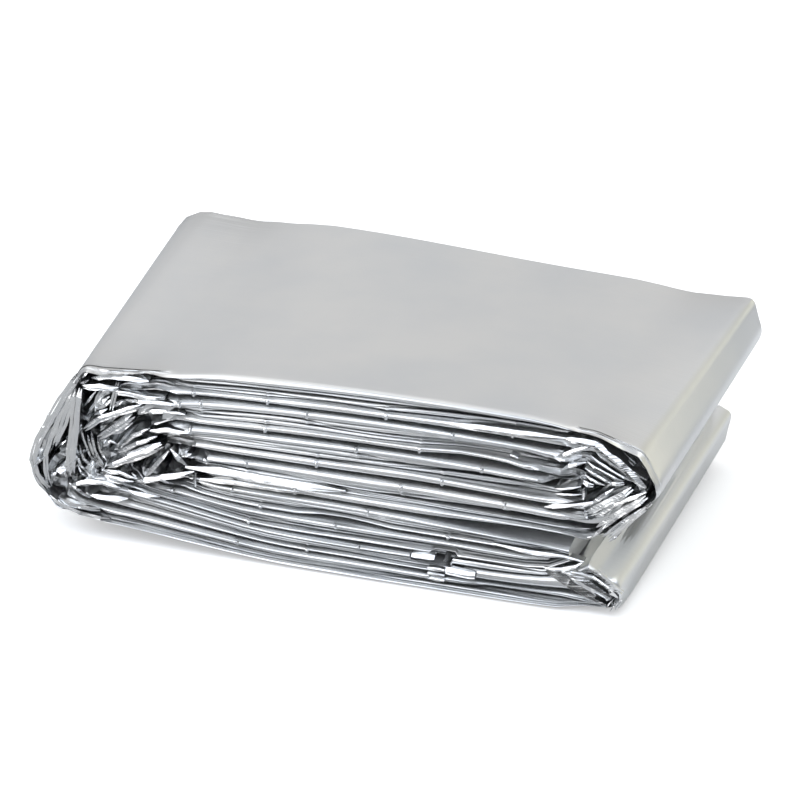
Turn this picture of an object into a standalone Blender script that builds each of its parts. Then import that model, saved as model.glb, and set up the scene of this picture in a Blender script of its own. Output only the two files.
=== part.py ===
"""Emergency foil blanket, folded flat into a packet.

The blanket is one rectangle of metallised film. It is first folded lengthwise into a
narrow strip of many plies, and the strip is then halved four times, so that sixteen panels
lie on each other. The solid is that strip: one sheet that runs back and forth through all
sixteen panels, from one loose end to the other.

X runs along the panels and Y from their front edges to the back. Z is up. Lengths in the
tables are millimetres, with X counted from the packet's left end and Z from the ground.
Panels are numbered from the top one, 0, to the bottom one, 15.
"""

import math
from typing import NamedTuple

import bpy
from mathutils import Vector

MM = 0.001

# Driving sizes, in millimetres.
STRIP_WIDTH = 72.5  # the folded strip, front edge to back edge
TURNING = 1.05  # thickness of the strip round its bends
PRESSED = 1.4  # its thickness where it lies pressed flat
PUFFED = 2.7  # its thickness where air keeps the plies apart
BACK_SHARE = 0.88  # share of those thicknesses that is left at the back
PACKET_SPLIT = 16.0  # height at which the upper eight panels lie on the lower eight
CROWN_DROP = 4.0  # how much lower the middle of the top lies at the back than in front
SPLIT_DROP = 1.5  # how much lower the split lies at the back than in front
MARGIN = 1.2  # width of the rounded margin along the strip's two edges
MARGIN_SHARE = 0.8  # share of the thickness that is left at the very edge
GROUND_LAYER = 1.6  # up to this height nothing comes down towards the back
CROWN_ROUNDING = 4.5  # how much rounder the outermost left fold's crown is at the back
CROWN_RISE = 1.3  # how much higher that crown is at the back
CROWN_OUT = 1.8  # how much further left it is there
SHOULDER_OUT = 1.8  # how much further right the outermost nose fold's shoulder is there
TIP_IN = 1.2  # how much further left its tip is there
STATIONS = (40.0, 75.0, 110.0)  # the three places along X where panel heights are given

# Stretches over which a change comes in, from where it is nothing to where it is full.
DROP_FROM_LEFT = (22.0, 97.0)  # the drop towards the back, along X
DROP_FROM_RIGHT = (134.0, 118.0)
STRAIGHT_FROM_LEFT = (20.0, 36.0)  # the thickness of a panel pressed flat, along X
STRAIGHT_FROM_RIGHT = (114.0, 106.0)
PUFF_FROM_LEFT = (31.0, 43.0)  # the puffed thickness, along X and up Z
PUFF_FROM_RIGHT = (119.0, 109.0)
PUFF_FROM_BELOW = (15.6, 17.6)
THINNING_FROM_BELOW = (GROUND_LAYER, GROUND_LAYER + 1.0)

# Radii of the corners that all folds of a kind share.
KNEE_RADIUS = 8.0
CROWN_RADIUS = 2.2
ANKLE_RADIUS = 8.0
SHOULDER_RADIUS = 2.4
SHOULDER_RADIUS_LOST = 0.9  # how much sharper a shoulder is at the back
HEEL_RADIUS = 3.5
ROOT_RADIUS = 12.0
HILL_RADIUS = 6.0
BROW_RADIUS = 2.4
BROW_RADIUS_LOST = 1.2  # how much sharper a flap's brow is at the back
SOFT = 40.0  # a corner with this radius is left as a plain point

PANELS_IN_ALL = 16
ANKLE_SHARE = 0.14  # how far the ankle of a left fold lies from its foot to its sole
ARC_STEPS = 4  # straight pieces in each rounded corner
RUN_STEPS = 5  # points along each panel, between its two folds
LEAST_REACH = 0.3  # even a nearly straight corner is drawn over this much on each side
ROOM_BESIDE_SOFT = 0.9  # share of the run to a soft neighbouring corner that an arc may use
ROOM_BESIDE_ROUND = 0.45  # the same beside a rounded corner
STRIP_ROWS = (0.0, MARGIN, 18.0, 37.0, 56.0, STRIP_WIDTH - MARGIN, STRIP_WIDTH)


class Panel(NamedTuple):
    """Height of a panel's middle at the three stations, and how far its edges are tucked in."""

    left: float
    middle: float
    right: float
    front_tuck: float
    back_tuck: float


PANELS = (
    Panel(40.3, 42.0, 41.7, 0.0, 0.0),
    Panel(37.0, 38.6, 38.4, 0.3, 0.6),
    Panel(33.8, 35.2, 34.9, 0.1, 0.2),
    Panel(30.7, 31.9, 31.5, 0.7, 0.9),
    Panel(27.6, 28.6, 28.1, 0.4, 0.3),
    Panel(24.6, 25.1, 24.6, 0.9, 0.7),
    Panel(21.5, 21.5, 20.9, 0.3, 1.0),
    Panel(18.4, 17.8, 17.2, 0.6, 0.4),
    Panel(15.2, 14.8, 14.4, 0.2, 0.8),
    Panel(13.1, 12.75, 12.4, 0.8, 0.2),
    Panel(11.0, 10.7, 10.4, 0.4, 0.6),
    Panel(8.95, 8.7, 8.45, 0.9, 0.9),
    Panel(6.9, 6.7, 6.5, 0.3, 0.3),
    Panel(4.85, 4.75, 4.65, 0.7, 0.7),
    Panel(2.8, 2.8, 2.8, 0.4, 0.5),
    Panel(0.725, 0.725, 0.725, 0.0, 0.0),
)


class LeftFold(NamedTuple):
    """The strip turning down at the left end, from an upper panel to its lower partner.

    It leaves the upper panel at the knee, turns down at the crown, stands out by the bulge
    half way down, turns back at the foot, sags below a straight line at the ankle and reaches
    the lower panel's height at the sole.
    """

    knee_x: float
    crown_x: float
    crown_z: float
    bulge: float
    foot_x: float
    foot_z: float
    foot_radius: float
    sag: float
    sole_x: float


LEFT_FOLDS = (
    LeftFold(25.0, 12.4, 38.2, 2.9, 0.7, 11.0, 5.0, 4.7, 56.0),
    LeftFold(25.5, 15.4, 34.6, 1.6, 3.9, 10.4, 3.6, 2.4, 54.0),
    LeftFold(26.0, 17.2, 31.6, 0.0, 7.4, 11.6, 2.4, 1.2, 52.0),
    LeftFold(27.0, 16.0, 25.4, 0.0, 13.0, 12.6, 2.0, 0.0, 50.0),
    LeftFold(27.5, 18.8, 23.4, 0.0, 16.6, 13.9, 1.6, 0.0, 48.0),
    LeftFold(29.0, 21.8, 20.8, 0.0, 20.4, 14.9, 1.4, 0.0, 46.2),
    LeftFold(32.5, 25.2, 19.0, 0.0, 24.6, 15.8, 1.1, 0.0, 44.5),
    LeftFold(38.5, 30.2, 18.6, 0.0, 30.0, 16.9, 0.85, 0.0, 42.8),
)


class NoseFold(NamedTuple):
    """The strip turning back at the right end of the upper half, as a blunt arrowhead."""

    knee_x: float
    shoulder_x: float
    shoulder_z: float
    tip_x: float
    tip_z: float
    tip_radius: float
    heel_x: float


NOSE_FOLDS = (
    NoseFold(121.0, 130.4, 38.3, 135.6, 30.6, 4.0, 122.5),
    NoseFold(118.0, 121.4, 38.0, 132.2, 30.8, 1.8, 120.0),
    NoseFold(116.0, 119.6, 34.4, 127.6, 30.2, 1.4, 117.5),
    NoseFold(112.0, 116.0, 31.1, 122.4, 29.6, 1.2, 114.0),
)


class Tongue(NamedTuple):
    """The strip turning back at the right end of panels 8 to 11, in a flat tongue."""

    knee_x: float
    knee_z: float
    tip_x: float
    upper_z: float
    lower_z: float
    radius: float
    heel_x: float


TONGUE_FOLDS = (
    Tongue(107.0, 14.4, 118.1, 13.8, 11.5, 1.1, 109.5),
    Tongue(105.5, 12.4, 109.6, 12.45, 10.9, 0.8, 106.0),
)


class Flap(NamedTuple):
    """A loose end of the strip, bent down over the last fold: its corners in X and Z."""

    root_x: float
    hill_x: float
    hill_z: float
    brow_x: float
    brow_z: float
    end_x: float
    end_z: float


FLAPS = {
    12: (
        Flap(108.0, 120.5, 9.9, 126.8, 7.8, 125.7, 0.9),
        Flap(108.0, 121.0, 9.6, 128.2, 13.6, 126.5, 5.4),
    ),
    13: (
        Flap(107.0, 119.0, 7.0, 124.2, 6.0, 124.6, 4.3),
        Flap(107.0, 119.0, 6.6, 124.4, 9.0, 124.0, 4.6),
    ),
}

TONGUE_RECEDES = 3.0  # how much further left the tongue ends at the back than in front
FIRST_FOLD_X = 123.6  # the first crosswise fold joins panels 14 and 15 here
FIRST_FOLD_RADIUS = 0.95
LOOSE_PANELS = (12, 13)


def ease(value, stretch=(0.0, 1.0)):
    """Share from 0 to 1 of the way along a stretch, with no slope at either end."""
    start, end = stretch
    share = min(max((value - start) / (end - start), 0.0), 1.0)
    return share * share * (3.0 - 2.0 * share)


def height_of(panel, x):
    """Height of a panel's middle at x: a parabola through its three stations."""
    a, b, c = STATIONS
    left, middle, right = PANELS[panel][:3]
    return (
        left * (x - b) * (x - c) / ((a - b) * (a - c))
        + middle * (x - a) * (x - c) / ((b - a) * (b - c))
        + right * (x - a) * (x - b) / ((c - a) * (c - b))
    )


def left_partner(panel):
    """The panel that this one is joined to at the left end: eight nested folds."""
    return PANELS_IN_ALL - 1 - panel


def right_partner(panel):
    """The panel that this one is joined to at the right end, or None at a loose end."""
    if panel in LOOSE_PANELS:
        return None
    if panel < 8:
        return 7 - panel
    if panel < 12:
        return 19 - panel
    return 29 - panel


def left_corners(upper, depth):
    """Corners (x, z, radius) of a left fold, from its upper panel to its lower one."""
    fold = LEFT_FOLDS[upper]
    lower = left_partner(upper)
    waist_x = (fold.crown_x + fold.foot_x) / 2 - fold.bulge
    waist_z = (fold.crown_z + fold.foot_z) / 2
    sole_z = height_of(lower, fold.sole_x)
    ankle_x = fold.foot_x + ANKLE_SHARE * (fold.sole_x - fold.foot_x)
    ankle_z = fold.foot_z + ANKLE_SHARE * (sole_z - fold.foot_z) - fold.sag
    spread = math.sqrt(depth) / (1 + upper)
    crown_x = fold.crown_x - CROWN_OUT * spread
    crown_z = fold.crown_z + CROWN_RISE * spread
    return [
        (fold.knee_x, height_of(upper, fold.knee_x), KNEE_RADIUS),
        (crown_x, crown_z, CROWN_RADIUS + CROWN_ROUNDING * spread),
        (waist_x, waist_z, SOFT),
        (fold.foot_x, fold.foot_z, fold.foot_radius),
        (ankle_x, ankle_z, ANKLE_RADIUS if fold.sag else SOFT),
        (fold.sole_x, sole_z, SOFT),
    ]


def nose_corners(upper, depth):
    """Corners of a nose fold, from its upper panel to its lower one."""
    fold = NOSE_FOLDS[upper]
    lower = right_partner(upper)
    shoulder_x = fold.shoulder_x + SHOULDER_OUT * depth / (1 + upper)
    tip_x = fold.tip_x - TIP_IN * depth / (1 + upper)
    return [
        (fold.knee_x, height_of(upper, fold.knee_x), KNEE_RADIUS),
        (shoulder_x, fold.shoulder_z, SHOULDER_RADIUS - SHOULDER_RADIUS_LOST * depth),
        (tip_x, fold.tip_z, fold.tip_radius),
        (fold.heel_x, height_of(lower, fold.heel_x), HEEL_RADIUS),
    ]


def tongue_corners(upper, depth):
    """Corners of a tongue fold, from its upper panel to its lower one."""
    fold = TONGUE_FOLDS[upper - 8]
    lower = right_partner(upper)
    tip_x = fold.tip_x - TONGUE_RECEDES * depth * (upper == 8)
    return [
        (fold.knee_x, fold.knee_z, KNEE_RADIUS),
        (tip_x, fold.upper_z, fold.radius),
        (tip_x, fold.lower_z, fold.radius),
        (fold.heel_x, height_of(lower, fold.heel_x), KNEE_RADIUS),
    ]


def first_fold_corners():
    """Corners of the fold between panels 14 and 15, from the upper one to the lower one."""
    return [
        (FIRST_FOLD_X, height_of(14, FIRST_FOLD_X), FIRST_FOLD_RADIUS),
        (FIRST_FOLD_X, height_of(15, FIRST_FOLD_X), FIRST_FOLD_RADIUS),
    ]


def flap_corners(panel, depth):
    """Corners of a loose flap at a share of the depth, from its root to its end."""
    front, back = FLAPS[panel]
    flap = Flap(*(a + (b - a) * depth * depth for a, b in zip(front, back)))
    return [
        (flap.root_x, height_of(panel, flap.root_x), ROOT_RADIUS),
        (flap.hill_x, flap.hill_z, HILL_RADIUS),
        (flap.brow_x, flap.brow_z, BROW_RADIUS - BROW_RADIUS_LOST * depth),
        (flap.end_x, flap.end_z, 0.0),
    ]


def right_corners(panel, depth):
    """Corners at the right end of a panel, in the order met when walking to the right."""
    if panel in LOOSE_PANELS:
        return flap_corners(panel, depth)
    upper = min(panel, right_partner(panel))
    if panel < 8:
        corners = nose_corners(upper, depth)
    elif panel < 12:
        corners = tongue_corners(upper, depth)
    else:
        corners = first_fold_corners()
    return corners if panel == upper else corners[::-1]


def route_corners(depth):
    """All corners of the strip's middle line at a share of the depth, with panel numbers."""
    panel = LOOSE_PANELS[0]
    corners = [(*corner, panel) for corner in flap_corners(panel, depth)[::-1]]
    to_left = True
    while True:
        if to_left:
            upper = min(panel, left_partner(panel))
            turn = left_corners(upper, depth)
            turn = turn if panel == upper else turn[::-1]
        else:
            turn = right_corners(panel, depth)
        start, end = corners[-1][0], turn[0][0]
        for step in range(1, RUN_STEPS + 1):
            x = start + (end - start) * step / (RUN_STEPS + 1)
            corners.append((x, height_of(panel, x), SOFT, panel))
        corners.extend((*corner, panel) for corner in turn)
        partner = left_partner(panel) if to_left else right_partner(panel)
        if partner is None:
            return corners
        panel = partner
        to_left = not to_left


def room_beside(radius):
    """Share of the run to a neighbouring corner that an arc may use up."""
    return ROOM_BESIDE_SOFT if radius >= SOFT else ROOM_BESIDE_ROUND


def round_corner(before, corner, after, radii):
    """Points of an arc that rounds a corner, or the corner alone where it is soft."""
    radius_before, radius, radius_after = radii
    if radius >= SOFT:
        return [corner]
    back, ahead = (before - corner), (after - corner)
    turn = math.pi - back.angle(ahead)
    room = min(
        back.length * room_beside(radius_before), ahead.length * room_beside(radius_after)
    )
    reach = max(min(radius * math.tan(turn / 2), room), LEAST_REACH)
    start = corner + back.normalized() * reach
    end = corner + ahead.normalized() * reach
    points = []
    for step in range(ARC_STEPS + 1):
        t = step / ARC_STEPS
        weight = math.cos(turn / 2)
        a, b, c = (1 - t) ** 2, 2 * t * (1 - t) * weight, t**2
        points.append((start * a + corner * b + end * c) / (a + b + c))
    return points


def route_at(depth):
    """The strip's middle line at a share of the depth: a list of (x, z, panel)."""
    corners = route_corners(depth)
    flat = [Vector((x, z)) for x, z, _, _ in corners]
    radii = [radius for _, _, radius, _ in corners]
    route = [(*flat[0], corners[0][3])]
    for i in range(1, len(flat) - 1):
        arc = round_corner(flat[i - 1], flat[i], flat[i + 1], radii[i - 1 : i + 2])
        route.extend((*point, corners[i][3]) for point in arc)
    route.append((*flat[-1], corners[-1][3]))
    return route


def settle(x, z, depth):
    """Lower the packet towards the back, most of all its crown and not at all its ends."""
    lower = min(max(z - GROUND_LAYER, 0.0) / (PACKET_SPLIT - GROUND_LAYER), 1.0)
    upper = max(z - PACKET_SPLIT, 0.0) / (PANELS[0].middle - PACKET_SPLIT)
    drop = SPLIT_DROP * lower + (CROWN_DROP - SPLIT_DROP) * upper
    clear_of_ends = ease(x, DROP_FROM_LEFT) * ease(x, DROP_FROM_RIGHT)
    return z - drop * ease(depth) * clear_of_ends


def thickness_at(x, z, depth):
    """Thickness of the strip: puffed in the upper half's panels, thin where it turns."""
    straight = ease(x, STRAIGHT_FROM_LEFT) * ease(x, STRAIGHT_FROM_RIGHT)
    puff = ease(z, PUFF_FROM_BELOW) * ease(x, PUFF_FROM_LEFT) * ease(x, PUFF_FROM_RIGHT)
    full = TURNING + (PRESSED - TURNING) * straight + (PUFFED - PRESSED) * puff
    thinning = (1.0 - BACK_SHARE) * depth * ease(z, THINNING_FROM_BELOW)
    return full * (1.0 - thinning)


def strip_surface():
    """Points of the strip's middle surface, row by row, and the thickness at each."""
    rows = [route_at(y / STRIP_WIDTH) for y in STRIP_ROWS]
    last = len(STRIP_ROWS) - 1
    points, thickness = [], []
    for row, (y, route) in enumerate(zip(STRIP_ROWS, rows)):
        depth = y / STRIP_WIDTH
        for x, z, number in route:
            panel = PANELS[number]
            inner = panel.front_tuck + depth * (
                STRIP_WIDTH - panel.front_tuck - panel.back_tuck
            )
            points.append(Vector((x, inner, settle(x, z, depth))) * MM)
            margin = MARGIN_SHARE if row in (0, last) else 1.0
            thickness.append(thickness_at(x, z, depth) * margin)
    return points, thickness, len(rows[0])


def grid_faces(rows, columns):
    """Four-sided faces of a grid whose points are listed row by row."""
    return [
        (
            row * columns + column,
            row * columns + column + 1,
            (row + 1) * columns + column + 1,
            (row + 1) * columns + column,
        )
        for row in range(rows - 1)
        for column in range(columns - 1)
    ]


def film_material():
    """Bright aluminised polyester."""
    material = bpy.data.materials.new("aluminised film")
    material.use_nodes = True
    shader = material.node_tree.nodes["Principled BSDF"]
    shader.inputs["Base Color"].default_value = (0.82, 0.83, 0.84, 1.0)
    shader.inputs["Metallic"].default_value = 1.0
    shader.inputs["Roughness"].default_value = 0.2
    return material


def make_strip(collection):
    """The folded strip: its middle surface, given its thickness by Solidify."""
    points, thickness, columns = strip_surface()
    mesh = bpy.data.meshes.new("foil_film")
    mesh.from_pydata(points, [], grid_faces(len(STRIP_ROWS), columns))
    mesh.materials.append(film_material())
    strip = bpy.data.objects.new("foil_film", mesh)
    collection.objects.link(strip)

    group = strip.vertex_groups.new(name="thickness")
    for index, value in enumerate(thickness):
        group.add([index], value / PUFFED, "REPLACE")
    solidify = strip.modifiers.new("thickness", "SOLIDIFY")
    solidify.thickness = PUFFED * MM
    solidify.offset = 0.0
    solidify.use_even_offset = True
    solidify.vertex_group = group.name
    return strip


def stand_on_origin(strip):
    """Move the strip's points so that the packet's base is centred on the origin."""
    bpy.context.view_layer.update()
    graph = bpy.context.evaluated_depsgraph_get()
    corners = [Vector(corner) for corner in strip.evaluated_get(graph).bound_box]
    low = Vector(min(corner[axis] for corner in corners) for axis in range(3))
    high = Vector(max(corner[axis] for corner in corners) for axis in range(3))
    shift = Vector(((low.x + high.x) / 2, (low.y + high.y) / 2, low.z))
    for vertex in strip.data.vertices:
        vertex.co -= shift


def main():
    """Clear the scene and build the blanket."""
    for obj in list(bpy.data.objects):
        bpy.data.objects.remove(obj, do_unlink=True)
    collection = bpy.data.collections.new("emergency foil blanket")
    bpy.context.scene.collection.children.link(collection)
    stand_on_origin(make_strip(collection))


main()
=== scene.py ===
"""Emergency foil blanket, folded flat into a packet: the film itself, its finish, and a plain
studio round it.

The blanket is one sheet of metallised film, 1.3 m wide and 2.1 m long. It is folded
lengthwise, in six passes that each go back and forth three times, into a strip of eighteen
plies, 72 mm wide. The strip then runs back and forth through sixteen panels. FoldedRoute
says where the strip's middle lies, StripSection how the plies lie across it, and FoilBlanket
makes the one mesh that follows both. Lengths are millimetres until the mesh is made.
"""

import logging
import math
from dataclasses import dataclass, field
from enum import Enum
from typing import NamedTuple

import bpy
import numpy as np
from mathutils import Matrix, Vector


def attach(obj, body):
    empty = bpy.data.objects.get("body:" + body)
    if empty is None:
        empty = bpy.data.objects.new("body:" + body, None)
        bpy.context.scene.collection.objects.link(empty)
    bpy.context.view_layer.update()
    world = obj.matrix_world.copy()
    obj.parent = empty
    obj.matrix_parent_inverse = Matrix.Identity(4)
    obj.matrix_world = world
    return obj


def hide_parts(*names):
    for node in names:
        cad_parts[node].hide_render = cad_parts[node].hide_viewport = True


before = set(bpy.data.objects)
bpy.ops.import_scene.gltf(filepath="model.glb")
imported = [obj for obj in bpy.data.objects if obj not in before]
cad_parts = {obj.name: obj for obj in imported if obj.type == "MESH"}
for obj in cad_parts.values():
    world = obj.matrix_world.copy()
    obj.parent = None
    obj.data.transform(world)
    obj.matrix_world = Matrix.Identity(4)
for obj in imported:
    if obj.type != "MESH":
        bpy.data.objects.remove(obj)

logging.basicConfig(level=logging.INFO, format="%(message)s")
log = logging.getLogger("foil blanket")

MM = 0.001
FILM_NODE = "foil_film"

Array = np.ndarray
Stretch = tuple[float, float]
Triple = tuple[float, float, float]
Inputs = dict[str | int, object]
Material = bpy.types.Material
Socket = bpy.types.NodeSocket
Thing = bpy.types.Object


# ---- The folded route, as the solid follows it

STRIP_WIDTH = 72.5  # the folded strip, front edge to back edge
PACKET_ORIGIN = (67.85, 36.22, 0.03)  # the part's origin, counted from the tables' own zero
TURNING = 1.05  # thickness of the strip round its bends
PRESSED_MORE = 0.35  # how much thicker it is where it lies pressed flat
PUFFED_MORE = 1.3  # and how much more where air keeps the plies apart
PACKET_SPLIT = 16.0  # height at which the upper eight panels lie on the lower eight
CROWN_DROP = 4.0  # how much lower the middle of the top lies at the back than in front
SPLIT_DROP = 1.5  # how much lower the split lies at the back than in front
GROUND_LAYER = 1.6  # up to this height nothing comes down towards the back
CROWN_ROUNDING = 4.5  # how much rounder the outermost left fold's crown is at the back
CROWN_RISE = 1.3  # how much higher that crown is at the back
CROWN_OUT = 1.8  # how much further left it is there
SHOULDER_OUT = 1.8  # how much further right the outermost nose fold's shoulder is there
TIP_IN = 1.2  # how much further left its tip is there
TONGUE_RECEDES = 3.0  # how much further left the tongue ends at the back than in front
FIRST_FOLD_X = 123.6
FIRST_FOLD_RADIUS = 0.95
STATIONS = (40.0, 75.0, 110.0)  # the three places along X where panel heights are given
DROP_FROM_LEFT = (22.0, 97.0)  # the drop towards the back, along X
DROP_FROM_RIGHT = (134.0, 118.0)
STRAIGHT_FROM_LEFT = (20.0, 36.0)  # the thickness of a panel pressed flat, along X
STRAIGHT_FROM_RIGHT = (114.0, 106.0)
PUFF_FROM_LEFT = (31.0, 43.0)  # the puffed thickness, along X and up Z
PUFF_FROM_RIGHT = (119.0, 109.0)
PUFF_FROM_BELOW = (15.6, 17.6)
HELD_FROM_LEFT = (10.0, 18.0)  # where the packet's weight holds the left bends, X and Z
HELD_FROM_RIGHT = (60.0, 50.0)
HELD_FROM_ABOVE = (16.0, 11.0)
HELD_SHARE = 0.85  # how much of their looseness they lose there
KNEE_RADIUS = 8.0
CROWN_RADIUS = 2.2
ANKLE_RADIUS = 8.0
SHOULDER_RADIUS = 2.4
SHOULDER_RADIUS_LOST = 0.9  # how much sharper a shoulder is at the back
HEEL_RADIUS = 3.5
ROOT_RADIUS = 12.0
HILL_RADIUS = 6.0
BROW_RADIUS = 2.4
BROW_RADIUS_LOST = 1.2  # how much sharper a flap's brow is at the back
SOFT = 40.0  # a corner with this radius is left as a plain point
ROOM_BESIDE_SOFT = 0.9  # share of the run to a soft neighbouring corner that an arc may use
ROOM_BESIDE_ROUND = 0.45  # the same beside a rounded corner
LEAST_REACH = 0.3  # even a nearly straight corner is drawn over this much on each side
ANKLE_SHARE = 0.14  # how far the ankle of a left fold lies from its foot to its sole
RUN_STEPS = 5  # points along each panel, between its two folds
PANELS_IN_ALL = 16
FIRST_TONGUE_PANEL = 8  # the panels above it turn back at the nose
FIRST_LOOSE_PANEL = 12  # the panels from 8 to 11 turn back in the tongue
NEVER_MET = 12.0  # distance that stands for no neighbour at all
FAR_AWAY = 1e6  # longer than anything in the packet
ON_RUN = 0.3  # below this looseness a place is on a panel's run and not in its folds
FOLD_GAIN = 3.0  # how soon rows of points stand closer as the film gets looser
LOOSE_GAIN = 2.0  # how soon slighter creases show as the film gets looser
CLEAR_OF_GROUND = 0.01


def rows_of(kind: type, *rows: tuple) -> tuple:
    """A table of things of one kind, from rows of their values."""
    return tuple(kind(*row) for row in rows)


class Panel(NamedTuple):
    """Height of a panel's middle at the three stations, and how far its edges are tucked in."""

    left: float
    middle: float
    right: float
    front_tuck: float
    back_tuck: float


PANELS = rows_of(
    Panel,
    (40.3, 42.0, 41.7, 0.0, 0.0),
    (37.0, 38.6, 38.4, 0.3, 0.6),
    (33.8, 35.2, 34.9, 0.1, 0.2),
    (30.7, 31.9, 31.5, 0.7, 0.9),
    (27.6, 28.6, 28.1, 0.4, 0.3),
    (24.6, 25.1, 24.6, 0.9, 0.7),
    (21.5, 21.5, 20.9, 0.3, 1.0),
    (18.4, 17.8, 17.2, 0.6, 0.4),
    (15.2, 14.8, 14.4, 0.2, 0.8),
    (13.1, 12.75, 12.4, 0.8, 0.2),
    (11.0, 10.7, 10.4, 0.4, 0.6),
    (8.95, 8.7, 8.45, 0.9, 0.9),
    (6.9, 6.7, 6.5, 0.3, 0.3),
    (4.85, 4.75, 4.65, 0.7, 0.7),
    (2.8, 2.8, 2.8, 0.4, 0.5),
    (0.725, 0.725, 0.725, 0.0, 0.0),
)


class LeftFold(NamedTuple):
    """The strip turning down at the left end; fill is the share of its room it takes."""

    knee_x: float
    crown_x: float
    crown_z: float
    bulge: float
    foot_x: float
    foot_z: float
    foot_radius: float
    sag: float
    sole_x: float
    fill: float


LEFT_FOLDS = rows_of(
    LeftFold,
    (25.0, 12.4, 38.2, 2.9, 0.7, 11.0, 5.0, 4.7, 56.0, 0.95),
    (25.5, 15.4, 34.6, 1.6, 3.9, 10.4, 3.6, 2.4, 54.0, 0.8),
    (26.0, 17.2, 31.6, 0.0, 7.4, 11.6, 2.4, 1.2, 52.0, 0.85),
    (27.0, 16.0, 25.4, 0.0, 13.0, 12.6, 2.0, 0.0, 50.0, 0.95),
    (27.5, 18.8, 23.4, 0.0, 16.6, 13.9, 1.6, 0.0, 48.0, 0.95),
    (29.0, 21.8, 20.8, 0.0, 20.4, 14.9, 1.4, 0.0, 46.2, 0.9),
    (32.5, 25.2, 19.0, 0.0, 24.6, 15.8, 1.1, 0.0, 44.5, 0.9),
    (38.5, 30.2, 18.6, 0.0, 30.0, 16.9, 0.85, 0.0, 42.8, 0.9),
)


class NoseFold(NamedTuple):
    """The strip turning back at the right end of the upper half, as a blunt arrowhead."""

    knee_x: float
    shoulder_x: float
    shoulder_z: float
    tip_x: float
    tip_z: float
    tip_radius: float
    heel_x: float
    fill: float


NOSE_FOLDS = rows_of(
    NoseFold,
    (121.0, 130.4, 38.3, 135.6, 30.6, 4.0, 122.5, 0.62),
    (118.0, 121.4, 38.0, 132.2, 30.8, 1.8, 120.0, 0.9),
    (116.0, 119.6, 34.4, 127.6, 30.2, 1.4, 117.5, 0.95),
    (112.0, 116.0, 31.1, 122.4, 29.6, 1.2, 114.0, 0.95),
)


class Tongue(NamedTuple):
    """The strip turning back at the right end of panels 8 to 11, in a flat tongue."""

    knee_x: float
    knee_z: float
    tip_x: float
    upper_z: float
    lower_z: float
    radius: float
    heel_x: float


TONGUE_FOLDS = rows_of(
    Tongue,
    (107.0, 14.4, 118.1, 13.8, 11.5, 1.1, 109.5),
    (106.0, 12.4, 114.6, 12.75, 12.1, 0.5, 108.0),
)


class Flap(NamedTuple):
    """A loose end of the strip, bent down over the last fold: its corners in X and Z."""

    root_x: float
    hill_x: float
    hill_z: float
    brow_x: float
    brow_z: float
    end_x: float
    end_z: float


FLAPS = {
    12: (
        Flap(108.0, 120.5, 9.9, 126.8, 7.8, 125.7, 0.9),
        Flap(108.0, 121.0, 9.6, 128.2, 13.6, 126.5, 5.4),
    ),
    13: (
        Flap(107.0, 119.0, 7.0, 124.2, 6.0, 124.6, 4.3),
        Flap(107.0, 119.0, 6.6, 124.4, 9.0, 124.0, 4.6),
    ),
}


class Lie(Enum):
    """How the film lies at a place along the strip."""

    RUN = "pressed between its neighbours"
    LEFT = "turned down at the left end, loose and crumpled"
    NOSE = "turned back at the nose, pleated"
    TONGUE = "turned back in the tongue"
    FLAP = "hanging over the last fold"


RUN_FILL = 0.94  # share of its room that the strip takes along the panels
SLACK = {Lie.RUN: 0.0, Lie.LEFT: 1.0, Lie.NOSE: 0.8, Lie.TONGUE: 0.2, Lie.FLAP: 0.6}


class Corner(NamedTuple):
    """A corner of the route: where it is, how round, and how the film lies there."""

    x: float
    z: float
    radius: float
    lie: Lie
    fill: float
    panel: int = 0
    outer: float = 0.0  # 1 where the strip's upper face is the fold's outer one, -1 if not


def ease(value: Array | float, stretch: tuple[float, float] = (0.0, 1.0)) -> Array | float:
    """Share from 0 to 1 of the way along a stretch, with no slope at either end.

    Args:
        value: A place, or an array of places.
        stretch: The place where the share is 0 and the one where it is 1.

    Returns:
        The share at each place.
    """
    start, end = stretch
    share = np.clip((value - start) / (end - start), 0.0, 1.0)
    return share * share * (3.0 - 2.0 * share)


# how the film lies at a corner, and the share of its room that it takes
PRESSED = (Lie.RUN, RUN_FILL)
TONGUE = (Lie.TONGUE, RUN_FILL)
HANGING = (Lie.FLAP, RUN_FILL)


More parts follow.
